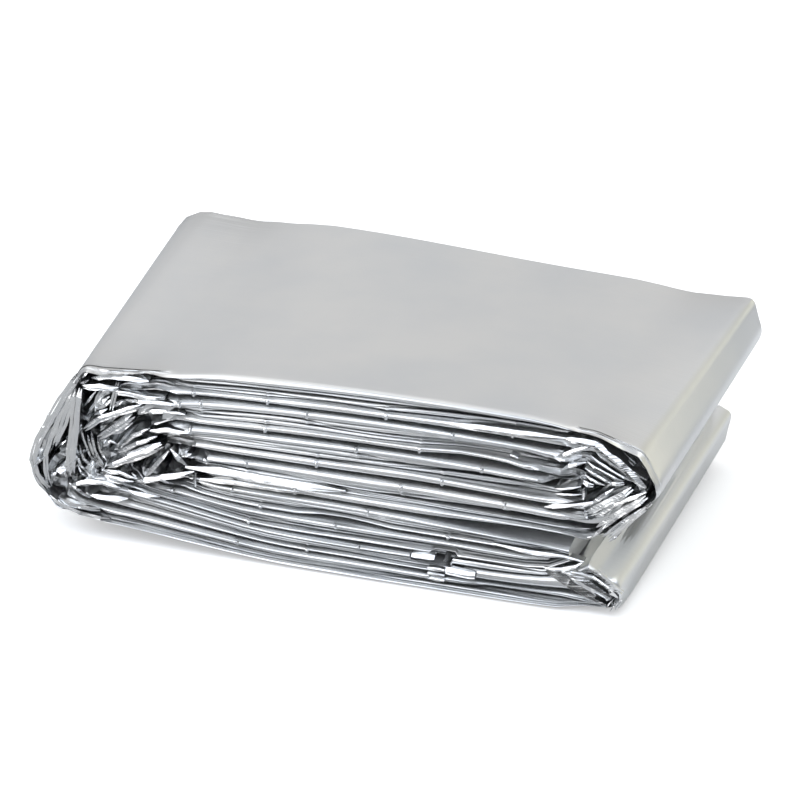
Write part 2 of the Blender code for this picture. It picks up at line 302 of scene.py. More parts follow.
@dataclass
class CornerLine:
    """The route's corners at one depth, from one loose end of the strip to the other."""

    depth: float  # share of the way from front to back
    arc_steps: int = 8

    @staticmethod
    def _height(panel: int, x: float) -> float:
        """Height of a panel's middle: a parabola through its three stations.

        Args:
            panel: Number of the panel, from the top.
            x: Place along the packet.

        Returns:
            The height there.
        """
        a, b, c = STATIONS
        left, middle, right = PANELS[panel][:3]
        return (
            left * (x - b) * (x - c) / ((a - b) * (a - c))
            + middle * (x - a) * (x - c) / ((b - a) * (b - c))
            + right * (x - a) * (x - b) / ((c - a) * (c - b))
        )

    @staticmethod
    def _right_partner(panel: int) -> int | None:
        """The panel that this one is joined to at the right end, or None at a loose end.

        Args:
            panel: Number of the panel, from the top.

        Returns:
            The other panel's number.
        """
        if panel in FLAPS:
            return None
        if panel < FIRST_TONGUE_PANEL:
            return FIRST_TONGUE_PANEL - 1 - panel
        if panel < FIRST_LOOSE_PANEL:
            return FIRST_TONGUE_PANEL + FIRST_LOOSE_PANEL - 1 - panel
        return 2 * PANELS_IN_ALL - 3 - panel

    def _left_turn(self, upper: int) -> list[Corner]:
        """Corners of a left fold, from its upper panel to its lower one.

        Args:
            upper: The upper panel.

        Returns:
            The corners.
        """
        fold = LEFT_FOLDS[upper]
        lower = PANELS_IN_ALL - 1 - upper
        sole_z = self._height(lower, fold.sole_x)
        ankle_x = fold.foot_x + ANKLE_SHARE * (fold.sole_x - fold.foot_x)
        ankle_z = fold.foot_z + ANKLE_SHARE * (sole_z - fold.foot_z) - fold.sag
        spread = math.sqrt(self.depth) / (1 + upper)
        waist_x = (fold.crown_x + fold.foot_x) / 2 - fold.bulge
        waist_z = (fold.crown_z + fold.foot_z) / 2
        crown = (
            fold.crown_x - CROWN_OUT * spread,
            fold.crown_z + CROWN_RISE * spread,
            CROWN_RADIUS + CROWN_ROUNDING * spread,
        )
        knee_z = self._height(upper, fold.knee_x)
        ankle_radius = ANKLE_RADIUS if fold.sag else SOFT
        outer = 1.0 - 2.0 * (upper % 2)
        turned = (Lie.LEFT, fold.fill, upper, outer)
        return [
            Corner(fold.knee_x, knee_z, KNEE_RADIUS, *turned),
            Corner(*crown, *turned),
            Corner(waist_x, waist_z, SOFT, *turned),
            Corner(fold.foot_x, fold.foot_z, fold.foot_radius, *turned),
            Corner(ankle_x, ankle_z, ankle_radius, Lie.LEFT, fold.fill, lower, outer),
            Corner(fold.sole_x, sole_z, SOFT, *PRESSED, lower),
        ]

    def _nose_turn(self, upper: int) -> list[Corner]:
        """Corners of a nose fold, from its upper panel to its lower one.

        Args:
            upper: The upper panel.

        Returns:
            The corners.
        """
        fold = NOSE_FOLDS[upper]
        lower = FIRST_TONGUE_PANEL - 1 - upper
        shoulder_x = fold.shoulder_x + SHOULDER_OUT * self.depth / (1 + upper)
        tip_x = fold.tip_x - TIP_IN * self.depth / (1 + upper)
        knee_z = self._height(upper, fold.knee_x)
        heel_z = self._height(lower, fold.heel_x)
        sharp = SHOULDER_RADIUS - SHOULDER_RADIUS_LOST * self.depth
        outer = 1.0 - 2.0 * (upper % 2)
        turned = (Lie.NOSE, fold.fill, upper, outer)
        return [
            Corner(fold.knee_x, knee_z, KNEE_RADIUS, *turned),
            Corner(shoulder_x, fold.shoulder_z, sharp, *turned),
            Corner(tip_x, fold.tip_z, fold.tip_radius, *turned),
            Corner(fold.heel_x, heel_z, HEEL_RADIUS, Lie.NOSE, RUN_FILL, lower, outer),
        ]

    def _tongue_turn(self, upper: int) -> list[Corner]:
        """Corners of a tongue fold, from its upper panel to its lower one.

        Args:
            upper: The upper panel.

        Returns:
            The corners.
        """
        fold = TONGUE_FOLDS[upper - FIRST_TONGUE_PANEL]
        lower = self._right_partner(upper)
        tip_x = fold.tip_x - TONGUE_RECEDES * self.depth * (upper == FIRST_TONGUE_PANEL)
        heel_z = self._height(lower, fold.heel_x)
        return [
            Corner(fold.knee_x, fold.knee_z, KNEE_RADIUS, *TONGUE, upper),
            Corner(tip_x, fold.upper_z, fold.radius, *TONGUE, upper),
            Corner(tip_x, fold.lower_z, fold.radius, *TONGUE, upper),
            Corner(fold.heel_x, heel_z, KNEE_RADIUS, *TONGUE, lower),
        ]

    def _flap(self, panel: int) -> list[Corner]:
        """Corners of a loose flap, from its root to its end.

        Args:
            panel: The panel that it ends.

        Returns:
            The corners.
        """
        front, back = FLAPS[panel]
        flap = Flap(*(a + (b - a) * self.depth * self.depth for a, b in zip(front, back)))
        root_z = self._height(panel, flap.root_x)
        brow_radius = BROW_RADIUS - BROW_RADIUS_LOST * self.depth
        return [
            Corner(flap.root_x, root_z, ROOT_RADIUS, *PRESSED, panel),
            Corner(flap.hill_x, flap.hill_z, HILL_RADIUS, *HANGING, panel),
            Corner(flap.brow_x, flap.brow_z, brow_radius, *HANGING, panel),
            Corner(flap.end_x, flap.end_z, 0.0, *HANGING, panel),
        ]

    def _right_turn(self, panel: int) -> list[Corner]:
        """Corners at the right end of a panel, in the order met when walking right.

        Args:
            panel: The panel that leads there.

        Returns:
            The corners.
        """
        partner = self._right_partner(panel)
        if partner is None:
            return self._flap(panel)
        upper = min(panel, partner)
        if panel < FIRST_TONGUE_PANEL:
            corners = self._nose_turn(upper)
        elif panel < FIRST_LOOSE_PANEL:
            corners = self._tongue_turn(upper)
        else:
            heights = [self._height(end, FIRST_FOLD_X) for end in (upper, upper + 1)]
            corners = [Corner(FIRST_FOLD_X, z, FIRST_FOLD_RADIUS, *TONGUE, upper) for z in heights]
        return corners if panel == upper else corners[::-1]

    def _corners(self) -> list[Corner]:
        """All corners of the route.

        Returns:
            The corners, from one loose end to the other.
        """
        panel = FIRST_LOOSE_PANEL
        corners = self._flap(panel)[::-1]
        to_left = True
        while True:
            if to_left:
                partner = PANELS_IN_ALL - 1 - panel
                upper = min(panel, partner)
                turn = self._left_turn(upper)
                turn = turn if panel == upper else turn[::-1]
            else:
                partner = self._right_partner(panel)
                turn = self._right_turn(panel)
            start, end = corners[-1].x, turn[0].x
            for step in range(1, RUN_STEPS + 1):
                x = start + (end - start) * step / (RUN_STEPS + 1)
                corners.append(Corner(x, self._height(panel, x), SOFT, *PRESSED, panel))
            corners.extend(turn)
            if partner is None:
                return corners
            panel = partner
            to_left = not to_left

    def points(self) -> list[Corner]:
        """The corners with arcs put in, brought down towards the back.

        Returns:
            Points of the route.
        """
        corners = self._corners()
        points = [corners[0]]
        for before, corner, after in zip(corners, corners[1:], corners[2:]):
            if corner.radius >= SOFT:
                points.append(corner)
                continue
            here = Vector((corner.x, corner.z))
            sides = [Vector((other.x, other.z)) - here for other in (before, after)]
            turn = math.pi - sides[0].angle(sides[1])
            room = min(
                side.length * (ROOM_BESIDE_SOFT if other.radius >= SOFT else ROOM_BESIDE_ROUND)
                for side, other in zip(sides, (before, after))
            )
            reach = max(min(corner.radius * math.tan(turn / 2), room), LEAST_REACH)
            start, end = (here + side.normalized() * reach for side in sides)
            weight = math.cos(turn / 2)
            for step in range(self.arc_steps + 1):
                t = step / self.arc_steps
                a, b, c = (1 - t) ** 2, 2 * t * (1 - t) * weight, t**2
                point = (start * a + here * b + end * c) / (a + b + c)
                points.append(corner._replace(x=point.x, z=point.y))
        points.append(corners[-1])
        return [self._settled(point) for point in points]

    def _settled(self, point: Corner) -> Corner:
        """The point, lowered towards the back as the packet settles there.

        Args:
            point: A point of the route.

        Returns:
            The lowered point.
        """
        lower = min(max(point.z - GROUND_LAYER, 0.0) / (PACKET_SPLIT - GROUND_LAYER), 1.0)
        upper = max(point.z - PACKET_SPLIT, 0.0) / (PANELS[0].middle - PACKET_SPLIT)
        drop = SPLIT_DROP * lower + (CROWN_DROP - SPLIT_DROP) * upper
        clear_of_ends = ease(point.x, DROP_FROM_LEFT) * ease(point.x, DROP_FROM_RIGHT)
        return point._replace(z=point.z - float(drop * ease(self.depth) * clear_of_ends))


@dataclass
class FoldedRoute:
    """The line that the middle of the strip follows, at any depth from front to back.

    The line is kept as a table: one row for each of a few depths, one column for each fine
    step along the strip. Every row has its folds at the same columns.
    """

    step: float = 0.25  # length of a fine step
    depth_rows: int = 2
    fold_smoothing: float = 0.35
    run_smoothing: float = 5.0
    run_margin: float = 3.0  # how far from a bend the stronger smoothing fades
    run_fade: float = 4.0  # how quickly it does
    slack_band: Stretch = (0.35, 0.95)  # looseness of a corner, from none to all
    change_over: float = 2.0  # length over which looseness and fullness change
    outer_change: float = 1.5  # and over which the outer face does
    tuck_change: float = 8.0
    room_step: float = 1.0  # between the places where neighbours are looked for
    room_smoothing: float = 1.2
    abreast: float = 0.9  # a neighbour lies no further aside than this
    own_length: float = 7.0  # what is nearer along the strip is no neighbour
    touching: float = 0.3  # nor is what is nearer than this
    places: Array = field(init=False)  # depth row, column, (x, z)
    normals: Array = field(init=False)  # depth row, column, (x, z)
    slack: Array = field(init=False)  # column
    fill: Array = field(init=False)
    outer: Array = field(init=False)
    resting: Array = field(init=False)  # half the solid's thickness
    front_tuck: Array = field(init=False)
    back_tuck: Array = field(init=False)
    travel: Array = field(init=False)  # length along the strip's front edge
    panel: Array = field(init=False)
    room: Array = field(init=False)  # depth row, column, (above, below): to the neighbours

    def __post_init__(self) -> None:
        """Trace the route at every depth, at equal steps, and smooth it."""
        lines = [CornerLine(depth).points() for depth in np.linspace(0.0, 1.0, self.depth_rows)]
        front = np.array([(corner.x, corner.z) for corner in lines[0]])
        gaps = np.hypot(*np.diff(front, axis=0).T)
        counts = np.maximum(1, np.round(gaps / self.step)).astype(int)
        where = np.concatenate([i + np.arange(n) / n for i, n in enumerate(counts)] + [[len(gaps)]])
        knots = np.arange(len(front))

        def spread(values: list[float]) -> Array:
            """The corners' values, read at every column."""
            return np.interp(where, knots, values)

        slack = spread([SLACK[corner.lie] for corner in lines[0]])
        in_run = 1.0 - np.clip(self._smooth(slack, self.run_margin) * self.run_fade, 0.0, 1.0)
        rows = []
        for line in lines:
            row = np.stack([spread([c.x for c in line]), spread([c.z for c in line])], axis=1)
            sharp = self._smooth(row, self.fold_smoothing)
            gentle = self._smooth(row, self.run_smoothing)
            rows.append(sharp + (gentle - sharp) * in_run[:, None])
        self.places = np.stack(rows)
        along = np.gradient(self.places, axis=1)
        along /= np.linalg.norm(along, axis=2, keepdims=True)
        self.normals = np.stack([along[:, :, 1], -along[:, :, 0]], axis=2)
        x, z = self.places[0].T
        held = ease(z, HELD_FROM_ABOVE) * ease(x, HELD_FROM_LEFT) * ease(x, HELD_FROM_RIGHT)
        loose = ease(slack, self.slack_band) * (1.0 - HELD_SHARE * held)
        self.slack = self._smooth(loose, self.change_over)
        self.fill = self._smooth(spread([c.fill for c in lines[0]]), self.change_over)
        self.outer = self._smooth(spread([c.outer for c in lines[0]]), self.outer_change)
        straight = ease(x, STRAIGHT_FROM_LEFT) * ease(x, STRAIGHT_FROM_RIGHT)
        puffed = ease(z, PUFF_FROM_BELOW) * ease(x, PUFF_FROM_LEFT) * ease(x, PUFF_FROM_RIGHT)
        self.resting = (TURNING + PRESSED_MORE * straight + PUFFED_MORE * puffed) / 2
        self.panel = np.round(spread([c.panel for c in lines[0]])).astype(int)
        tucks = np.array([[PANELS[p].front_tuck, PANELS[p].back_tuck] for p in self.panel])
        self.front_tuck, self.back_tuck = self._smooth(tucks, self.tuck_change).T
        lengths = np.hypot(*np.diff(rows[0], axis=0).T)
        self.travel = np.concatenate([[0.0], np.cumsum(lengths)])
        self.room = np.stack([self._room_in_row(row) for row in range(self.depth_rows)])

    def read(self, table: Array, columns: Array, depths: Array) -> Array:
        """Values between the rows and the columns of a table.

        Args:
            table: Values by depth row and column.
            columns: Fractional column of each station.
            depths: Share of the depth, one row for each station.

        Returns:
            The table's values, for each depth given.
        """
        low = np.clip(np.floor(columns).astype(int), 0, self.places.shape[1] - 2)
        part = (columns - low)[None, :, None]
        here = table[:, low] * (1 - part) + table[:, low + 1] * part
        rows = np.clip(depths, 0.0, 1.0) * (self.depth_rows - 1)
        first = np.clip(np.floor(rows).astype(int), 0, self.depth_rows - 2)
        t = (rows - first)[:, :, None]
        station = np.arange(len(columns))[:, None]
        return here[first, station] * (1 - t) + here[first + 1, station] * t

    def _room_in_row(self, row: int) -> Array:
        """Distance from the strip's middle to the next strip, above and below it.

        Args:
            row: Depth row.

        Returns:
            Two distances for each column, NEVER_MET where nothing is near.
        """
        skip = round(self.room_step / self.step)
        place, normal = self.places[row, ::skip], self.normals[row, ::skip]
        aim = place[None, :, :] - place[:, None, :]
        above = np.einsum("ijk,ik->ij", aim, normal)
        aside = np.abs(aim[:, :, 0] * normal[:, None, 1] - aim[:, :, 1] * normal[:, None, 0])
        number = np.arange(len(place))
        apart = np.abs(number[:, None] - number[None, :]) * skip * self.step
        met = (aside < self.abreast) & (apart > self.own_length)
        up = np.where(met & (above > self.touching), above, NEVER_MET).min(axis=1)
        down = np.where(met & (above < -self.touching), -above, NEVER_MET).min(axis=1)
        coarse = np.clip(np.stack([up, down], axis=1), 0.0, NEVER_MET)
        columns = np.arange(self.places.shape[1]) / skip
        fine = [np.interp(columns, number, coarse[:, i]) for i in range(2)]
        return self._smooth(np.stack(fine, axis=1), self.room_smoothing)

    def _smooth(self, values: Array, reach: float) -> Array:
        """Values averaged along the strip, their ends kept.

        Args:
            values: One value, or one row of values, for each column.
            reach: Length over which they are averaged.

        Returns:
            The smoothed values, in the same shape.
        """
        size = max(1, round(reach / self.step))
        offsets = np.arange(-3 * size, 3 * size + 1)
        kernel = np.exp(-0.5 * (offsets / size) ** 2)
        kernel /= kernel.sum()
        columns = values.reshape(len(values), -1)
        edge = len(offsets) // 2
        before = 2 * columns[0] - columns[edge:0:-1]
        after = 2 * columns[-1] - columns[-2 : -edge - 2 : -1]
        padded = np.concatenate([before, columns, after])
        smooth = [np.convolve(padded[:, i], kernel, "valid") for i in range(columns.shape[1])]
        return np.stack(smooth, axis=1).reshape(values.shape)


# ---- Unevenness


class Wave(NamedTuple):
    """One wave along a line."""

    size: float
    length: float  # typical length of a swell
    lane: int = 0  # tells waves of one seed apart
    sharp: bool = False  # whether the swells meet in edges instead of running softly on


@dataclass(frozen=True)
class Unevenness:
    """Repeatable randomness: soft waves along a line and sharp-edged facets in space."""

    seed: int
    skew: float = 0.31  # leans the facets' grid, so that it doesn't show

    def _corner_values(self, cells: Array) -> Array:
        """A fixed random number for each cell, mixed from its whole numbers and the seed.

        Args:
            cells: Whole numbers, the last axis being the cell's.

        Returns:
            A number from -1 to 1 for each cell.
        """
        mixed = np.full(cells.shape[:-1], self.seed * 7919 + 17, dtype=np.uint64)
        for axis in range(cells.shape[-1]):
            part = (cells[..., axis] + 100000).astype(np.uint64)
            mixed ^= (part + np.uint64(axis * 104729 + 1)) * np.uint64(0x9E3779B97F4A7C15)
            mixed ^= mixed >> np.uint64(29)
            mixed *= np.uint64(0xBF58476D1CE4E5B9)
            mixed ^= mixed >> np.uint64(32)
        return (mixed >> np.uint64(40)).astype(float) / float(1 << 23) - 1.0

    def of(self, wave: Wave, along: Array, shift: int = 0) -> Array:
        """A wave along a line.

        Args:
            wave: Its size and length.
            along: Places along the line.
            shift: Whole number added to the wave's lane.

        Returns:
            A height from -size to size at each place.
        """
        place = np.asarray(along, dtype=float) / wave.length
        cell = np.floor(place)
        t = place - cell if wave.sharp else ease(place - cell)
        lanes = np.full(place.shape, float(wave.lane + shift))
        left = self._corner_values(np.stack([cell, lanes], axis=-1))
        right = self._corner_values(np.stack([cell + 1, lanes], axis=-1))
        return wave.size * (left * (1 - t) + right * t)

    def facets(self, points: Array, cell: Triple) -> Array:
        """Flat facets that meet in sharp edges, as in crumpled film.

        Args:
            points: Places in space, the last axis being x, y and z.
            cell: Typical size of a facet along each axis.

        Returns:
            A height from -1 to 1 at each place.
        """
        scaled = points / np.array(cell)
        scaled = scaled + self.skew * scaled.sum(axis=-1, keepdims=True)
        base = np.floor(scaled)
        part = scaled - base
        order = np.argsort(-part, axis=-1)
        ranked = np.take_along_axis(part, order, axis=-1)
        total = self._corner_values(base) * (1.0 - ranked[..., 0])
        corner = base.copy()
        for step in range(3):
            one = np.zeros_like(corner)
            np.put_along_axis(one, order[..., step : step + 1], 1.0, axis=-1)
            corner = corner + one
            below = ranked[..., step + 1] if step < 2 else 0.0
            total = total + self._corner_values(corner) * (ranked[..., step] - below)
        return total


# ---- What is placed one by one


class Bulge(NamedTuple):
    """A stretch of a strip's front edge that stands thicker, or further in, than the rest."""

    panel: int
    start_x: float
    end_x: float
    ends: float  # length over which it comes and goes
    above: float
    below: float
    tuck: float


BULGES = rows_of(
    Bulge,
    (13, 90.0, 121.0, 0.8, 2.3, 0.1, -0.3),  # the broad bright layer by the flap
    (12, 89.2, 117.0, 0.8, -0.2, -0.4, 2.8),
    (14, 92.0, 122.0, 8.0, -0.5, 0.0, 1.4),
    (12, 82.0, 89.2, 0.8, -0.1, -0.2, 4.0),  # the dark notch beside it
    (11, 86.0, 92.0, 1.0, 0.0, -0.4, 1.2),
    (0, 14.0, 124.0, 10.0, 0.0, -0.35, 0.0),
    (7, 82.0, 160.0, 28.0, 0.0, -0.9, 0.3),  # the groove that opens to the right
    (8, 82.0, 160.0, 28.0, -0.9, 0.0, 0.0),
    (1, 14.0, 62.0, 20.0, -0.35, 0.0, 1.0),
    (3, 85.0, 105.5, 5.0, -0.3, -0.25, 1.2),
    (9, 58.0, 76.0, 6.0, -0.2, -0.2, 1.2),
)


class Crease(NamedTuple):
    """A trough across the front of the folds, or a ridge where the depth is below zero."""

    start_x: float
    start_z: float
    end_x: float
    end_z: float
    width: float
    depth: float
    reach: float = 6.0  # how far in towards the back it fades away


CREASES = rows_of(
    Crease,
    # left end: the dark hollow between the second and third straps, and those further in
    (10.0, 25.0, 12.6, 34.5, 1.6, 5.0, 9.0),
    (5.5, 15.5, 10.0, 23.0, 2.2, 6.0, 9.0),
    (13.0, 24.0, 13.4, 33.0, 1.6, 6.0, 9.0),
    (13.5, 31.0, 16.0, 32.5, 1.2, 2.6),
    (22.0, 33.6, 27.5, 34.2, 1.1, 5.0, 9.0),
    (25.5, 30.3, 30.0, 30.3, 0.8, 5.0, 9.0),
    (18.0, 25.0, 24.5, 28.0, 2.0, 6.0, 9.0),
    (24.0, 28.6, 31.5, 26.6, 1.4, 6.0, 9.0),
    (25.0, 18.6, 29.0, 20.5, 2.1, 7.0, 9.0),
    (29.5, 18.6, 34.5, 19.5, 2.0, 7.0, 9.0),
    (34.5, 22.6, 38.0, 22.0, 1.2, 5.0, 9.0),
    (7.5, 9.5, 11.0, 12.5, 1.8, 5.0, 9.0),
    (12.0, 10.8, 19.0, 11.2, 1.1, 4.0, 9.0),
)


class Bend(Enum):
    """How a tuck's two flanks lie: how far each falls back for every millimetre of width."""

    CREST = (1.0, -0.35)  # the upper flank faces up, the lower one slightly up
    SHELF = (0.85, -0.6)  # both flanks lean back
    BRIGHT = (1.15, -0.9)  # both flanks face up
    PALE = (0.66, -0.5)  # both flanks lean back, less steeply
    FOLD = (0.8, 0.5)  # a plain ridge
    CHEEK = (0.12, 0.06)  # nearly flat, facing forward
    DULL = (0.3, -0.3)  # flat, leaning back a little
    DEEP = (0.42, -0.42)  # flat, leaning back more


CREST, SHELF, BRIGHT, PALE, FOLD, CHEEK, DULL, DEEP = Bend


class Tuck(NamedTuple):
    """A narrow fold of film that stands out where the strip's turns are crushed together.

    The widths are those of the flanks to the left and to the right of the way the line
    goes; proud is how far behind the packet's front the ridge lies.
    """

    bend: Bend
    left: float
    right: float
    proud: float
    strands: int  # how many narrow folds lie side by side in it
    line: tuple[Stretch, ...]  # (x, z) of the ridge's corners


def tuck_table(*rows: tuple) -> tuple[Tuck, ...]:
    """Tucks from rows of their values, each ending in the corners of its line."""
    return tuple(Tuck(*row[:5], row[5:]) for row in rows)


TUCKS = tuck_table(
    # the left end
    (CHEEK, 1.0, 1.0, 0.1, 3, (9.6, 13.9), (9.8, 19.5), (10.5, 24.2), (10.9, 28.9), (11.4, 33.6)),
    (BRIGHT, 0.8, 0.9, -0.3, 1, (6.5, 14.3), (8.5, 14.8)),
    (BRIGHT, 0.2, 0.25, -0.4, 1, (2.3, 20.3), (3.6, 21.7)),
    (BRIGHT, 0.2, 0.3, -0.4, 1, (3.1, 23.2), (4.4, 24.6)),
    (BRIGHT, 0.2, 0.25, -0.4, 1, (2.1, 17.3), (2.9, 18.6)),
    (BRIGHT, 0.2, 0.25, -0.4, 1, (4.4, 26.2), (5.5, 27.8)),
    (BRIGHT, 0.25, 0.3, 0.0, 1, (7.1, 19.8), (8.6, 21.4)),
    (SHELF, 0.5, 0.5, 0.0, 1, (5.2, 12.5), (6.4, 13.4)),
    (BRIGHT, 0.45, 0.3, -0.2, 1, (12.3, 36.2), (13.6, 38.0)),
    (DULL, 0.4, 0.4, 0.1, 1, (11.8, 34.8), (13.5, 35.8)),
    (FOLD, 0.35, 0.3, 0.9, 1, (16.0, 15.7), (13.5, 18.3), (12.2, 21.8), (11.5, 25.1)),
    (FOLD, 0.3, 0.3, 1.1, 1, (16.2, 16.3), (14.5, 19.7), (13.6, 23.7)),
    (FOLD, 0.3, 0.3, 1.0, 1, (16.2, 15.9), (14.1, 18.8), (12.8, 22.7)),
    (FOLD, 0.35, 0.3, 1.3, 1, (16.8, 17.0), (15.5, 19.8), (14.8, 22.5)),
    (BRIGHT, 0.5, 0.6, -0.2, 2, (12.3, 34.3), (16.2, 35.2), (20.0, 35.1)),
    (CREST, 0.45, 0.5, -0.1, 2, (18.3, 34.3), (22.2, 34.5), (26.0, 34.2), (29.9, 34.4)),
    (BRIGHT, 0.4, 0.3, 0.0, 1, (14.2, 36.6), (19.5, 37.9), (26.4, 37.7)),
    (FOLD, 0.5, 0.5, 0.0, 2, (18.3, 29.7), (19.8, 36.4)),
    (FOLD, 0.3, 0.3, 1.2, 1, (12.7, 27.2), (15.9, 32.6)),
    (FOLD, 0.3, 0.3, 1.4, 1, (12.0, 29.1), (14.6, 32.7)),
    (SHELF, 0.8, 0.8, 0.6, 2, (14.8, 29.3), (18.1, 32.3)),
    (SHELF, 0.4, 0.4, 0.7, 1, (14.4, 27.8), (17.2, 29.6)),
    (BRIGHT, 0.6, 0.5, 0.2, 1, (18.6, 30.5), (20.8, 32.3)),
    (CREST, 0.35, 0.35, 0.3, 1, (21.2, 32.4), (24.6, 32.9)),
    (SHELF, 0.5, 0.4, 0.0, 2, (22.6, 32.7), (27.5, 33.5), (33.3, 33.1)),
    (CREST, 0.4, 0.3, 0.1, 1, (25.5, 30.6), (29.6, 31.5), (34.1, 31.3)),
    (CREST, 0.5, 0.3, 0.0, 1, (26.4, 26.4), (30.3, 27.2), (35.0, 27.1)),
    (CREST, 0.75, 0.4, -0.4, 2, (12.6, 24.4), (16.0, 27.5), (20.3, 29.8), (25.5, 32.1)),
    (CREST, 1.0, 0.5, -0.3, 2, (15.7, 23.0), (19.3, 25.9), (23.4, 29.3)),
    (CREST, 0.4, 0.3, 0.1, 1, (18.3, 24.2), (20.7, 25.7), (22.9, 27.7)),
    (CREST, 0.3, 0.3, 0.3, 1, (16.5, 21.0), (18.2, 22.7), (19.5, 22.0)),
    (CREST, 0.4, 0.3, 0.0, 1, (20.3, 21.8), (23.1, 24.8), (26.6, 26.9)),
    (CREST, 0.45, 0.3, 0.1, 1, (19.8, 20.2), (23.9, 23.2), (28.2, 25.3)),
    (CREST, 0.5, 0.3, 0.0, 1, (20.5, 19.2), (25.0, 22.0), (28.9, 24.0)),
    (CREST, 0.95, 0.4, -0.4, 2, (17.6, 16.6), (21.4, 18.9), (25.7, 21.0), (29.6, 23.4)),
    (CREST, 0.45, 0.4, -0.3, 1, (25.6, 15.9), (28.2, 19.1), (30.6, 22.7)),
    (FOLD, 0.5, 0.4, 0.1, 1, (30.9, 22.9), (34.3, 19.6)),
    (BRIGHT, 0.5, 0.4, 0.3, 1, (33.4, 21.6), (35.3, 22.4)),
    (CREST, 0.55, 0.35, -0.3, 1, (23.8, 14.5), (29.8, 16.5), (36.1, 18.6)),
    (BRIGHT, 0.6, 0.5, 0.0, 1, (36.3, 15.1), (36.3, 18.6)),
    (CREST, 0.35, 0.3, 0.0, 1, (16.5, 15.8), (20.0, 15.9), (23.8, 15.0)),
    (CREST, 0.3, 0.3, 0.1, 1, (16.9, 14.7), (19.9, 14.5), (22.9, 14.1)),
    (FOLD, 0.3, 0.3, 0.9, 1, (11.1, 20.2), (12.2, 17.2), (15.0, 14.8)),
    (FOLD, 0.3, 0.3, 1.0, 1, (10.4, 18.4), (11.5, 15.6), (14.3, 13.5)),
    (FOLD, 0.25, 0.25, 1.1, 1, (10.4, 15.8), (11.7, 13.7), (13.6, 12.4)),
    (CREST, 0.4, 0.3, -0.1, 1, (9.3, 11.2), (13.2, 12.8), (16.4, 13.1), (20.2, 12.1)),
    (FOLD, 0.4, 0.3, 0.2, 1, (9.0, 11.4), (11.3, 10.2), (13.5, 8.7)),
    (BRIGHT, 0.4, 0.35, -0.2, 1, (13.6, 9.6), (17.9, 9.9), (21.8, 10.1)),
    (SHELF, 0.3, 0.3, 0.0, 1, (21.7, 12.0), (25.3, 11.7), (28.6, 11.5)),
    (CHEEK, 0.6, 0.5, 0.0, 2, (6.7, 7.7), (10.3, 6.9), (15.7, 6.4)),
    (BRIGHT, 0.3, 0.3, 0.0, 1, (9.7, 6.1), (12.7, 7.3)),
    # the nose
    (CREST, 0.7, 0.45, -0.1, 1, (114.4, 39.2), (117.8, 39.3), (121.0, 39.1), (126.8, 35.2),
     (131.8, 30.8)),
    (CREST, 0.4, 0.3, -0.1, 1, (112.9, 34.7), (116.8, 36.9), (121.1, 39.0)),
    (CREST, 0.4, 0.3, 0.1, 1, (113.7, 31.7), (115.6, 33.4), (119.1, 34.4)),
    (FOLD, 0.25, 0.25, 0.4, 1, (122.3, 38.2), (131.8, 32.4)),
    (CREST, 0.25, 0.25, 0.5, 1, (121.1, 37.0), (130.2, 31.8)),
    (FOLD, 0.25, 0.25, 0.6, 1, (119.9, 35.9), (128.7, 31.3)),
    (CREST, 0.2, 0.25, 0.7, 1, (119.2, 34.3), (126.7, 31.1)),
    (FOLD, 0.25, 0.25, 0.8, 1, (118.7, 32.8), (124.8, 30.1)),
    (CREST, 0.2, 0.25, 0.9, 1, (118.7, 31.3), (122.8, 29.4)),
    (FOLD, 0.2, 0.2, 1.6, 1, (112.0, 26.7), (117.6, 27.9)),
    (FOLD, 0.2, 0.2, 1.6, 1, (112.3, 25.4), (117.8, 26.3)),
    (SHELF, 0.6, 0.6, 0.3, 2, (118.5, 29.8), (120.6, 29.2)),
    (FOLD, 0.4, 0.5, 0.3, 1, (118.5, 25.7), (118.7, 28.5)),
    (SHELF, 0.45, 0.4, 0.2, 2, (124.5, 30.4), (127.1, 30.8)),
    (CREST, 0.3, 0.25, 0.1, 1, (110.4, 22.9), (117.7, 24.8), (122.5, 26.3)),
    (CREST, 0.45, 0.3, -0.1, 1, (120.1, 25.2), (125.0, 29.5)),
    (PALE, 0.7, 0.6, 0.1, 2, (119.2, 22.9), (123.1, 25.8), (128.9, 30.0)),
    (CREST, 0.45, 0.3, -0.1, 1, (121.1, 22.2), (125.4, 26.1), (131.9, 29.9)),
    (PALE, 0.8, 0.7, 0.0, 2, (121.8, 19.9), (125.7, 23.8), (131.9, 28.7)),
    (PALE, 0.35, 0.3, 0.2, 1, (122.6, 18.1), (126.0, 21.4), (130.8, 25.9)),
    (BRIGHT, 0.3, 0.4, 0.1, 1, (119.0, 23.8), (119.6, 21.6)),
)

BROAD_TUCKS = tuck_table(
    (DEEP, 0.9, 1.0, -0.2, 1, (110.9, 8.5), (115.9, 6.8), (121.4, 4.3)),
    (DEEP, 0.4, 0.4, -0.2, 1, (114.6, 6.1), (118.9, 4.8), (123.6, 2.8)),
    (PALE, 0.6, 0.6, -0.3, 1, (113.7, 9.3), (118.9, 8.1), (124.7, 4.9)),
    (DEEP, 0.45, 0.45, -0.3, 1, (119.8, 10.5), (123.2, 9.0), (126.8, 5.7)),
    (CREST, 0.6, 0.4, -0.2, 1, (88.8, 38.7), (99.5, 38.9), (109.2, 39.1), (115.0, 39.3)),
    (SHELF, 0.3, 0.4, -0.3, 1, (99.6, 13.0), (108.2, 12.7), (114.6, 12.7), (118.9, 12.0)),
    (SHELF, 0.55, 0.65, 0.1, 1, (34.1, 19.3), (41.4, 20.0), (50.5, 19.7), (68.3, 19.4)),
    (CREST, 0.4, 0.4, 0.1, 1, (35.0, 16.9), (44.7, 17.8), (62.9, 17.8)),
)

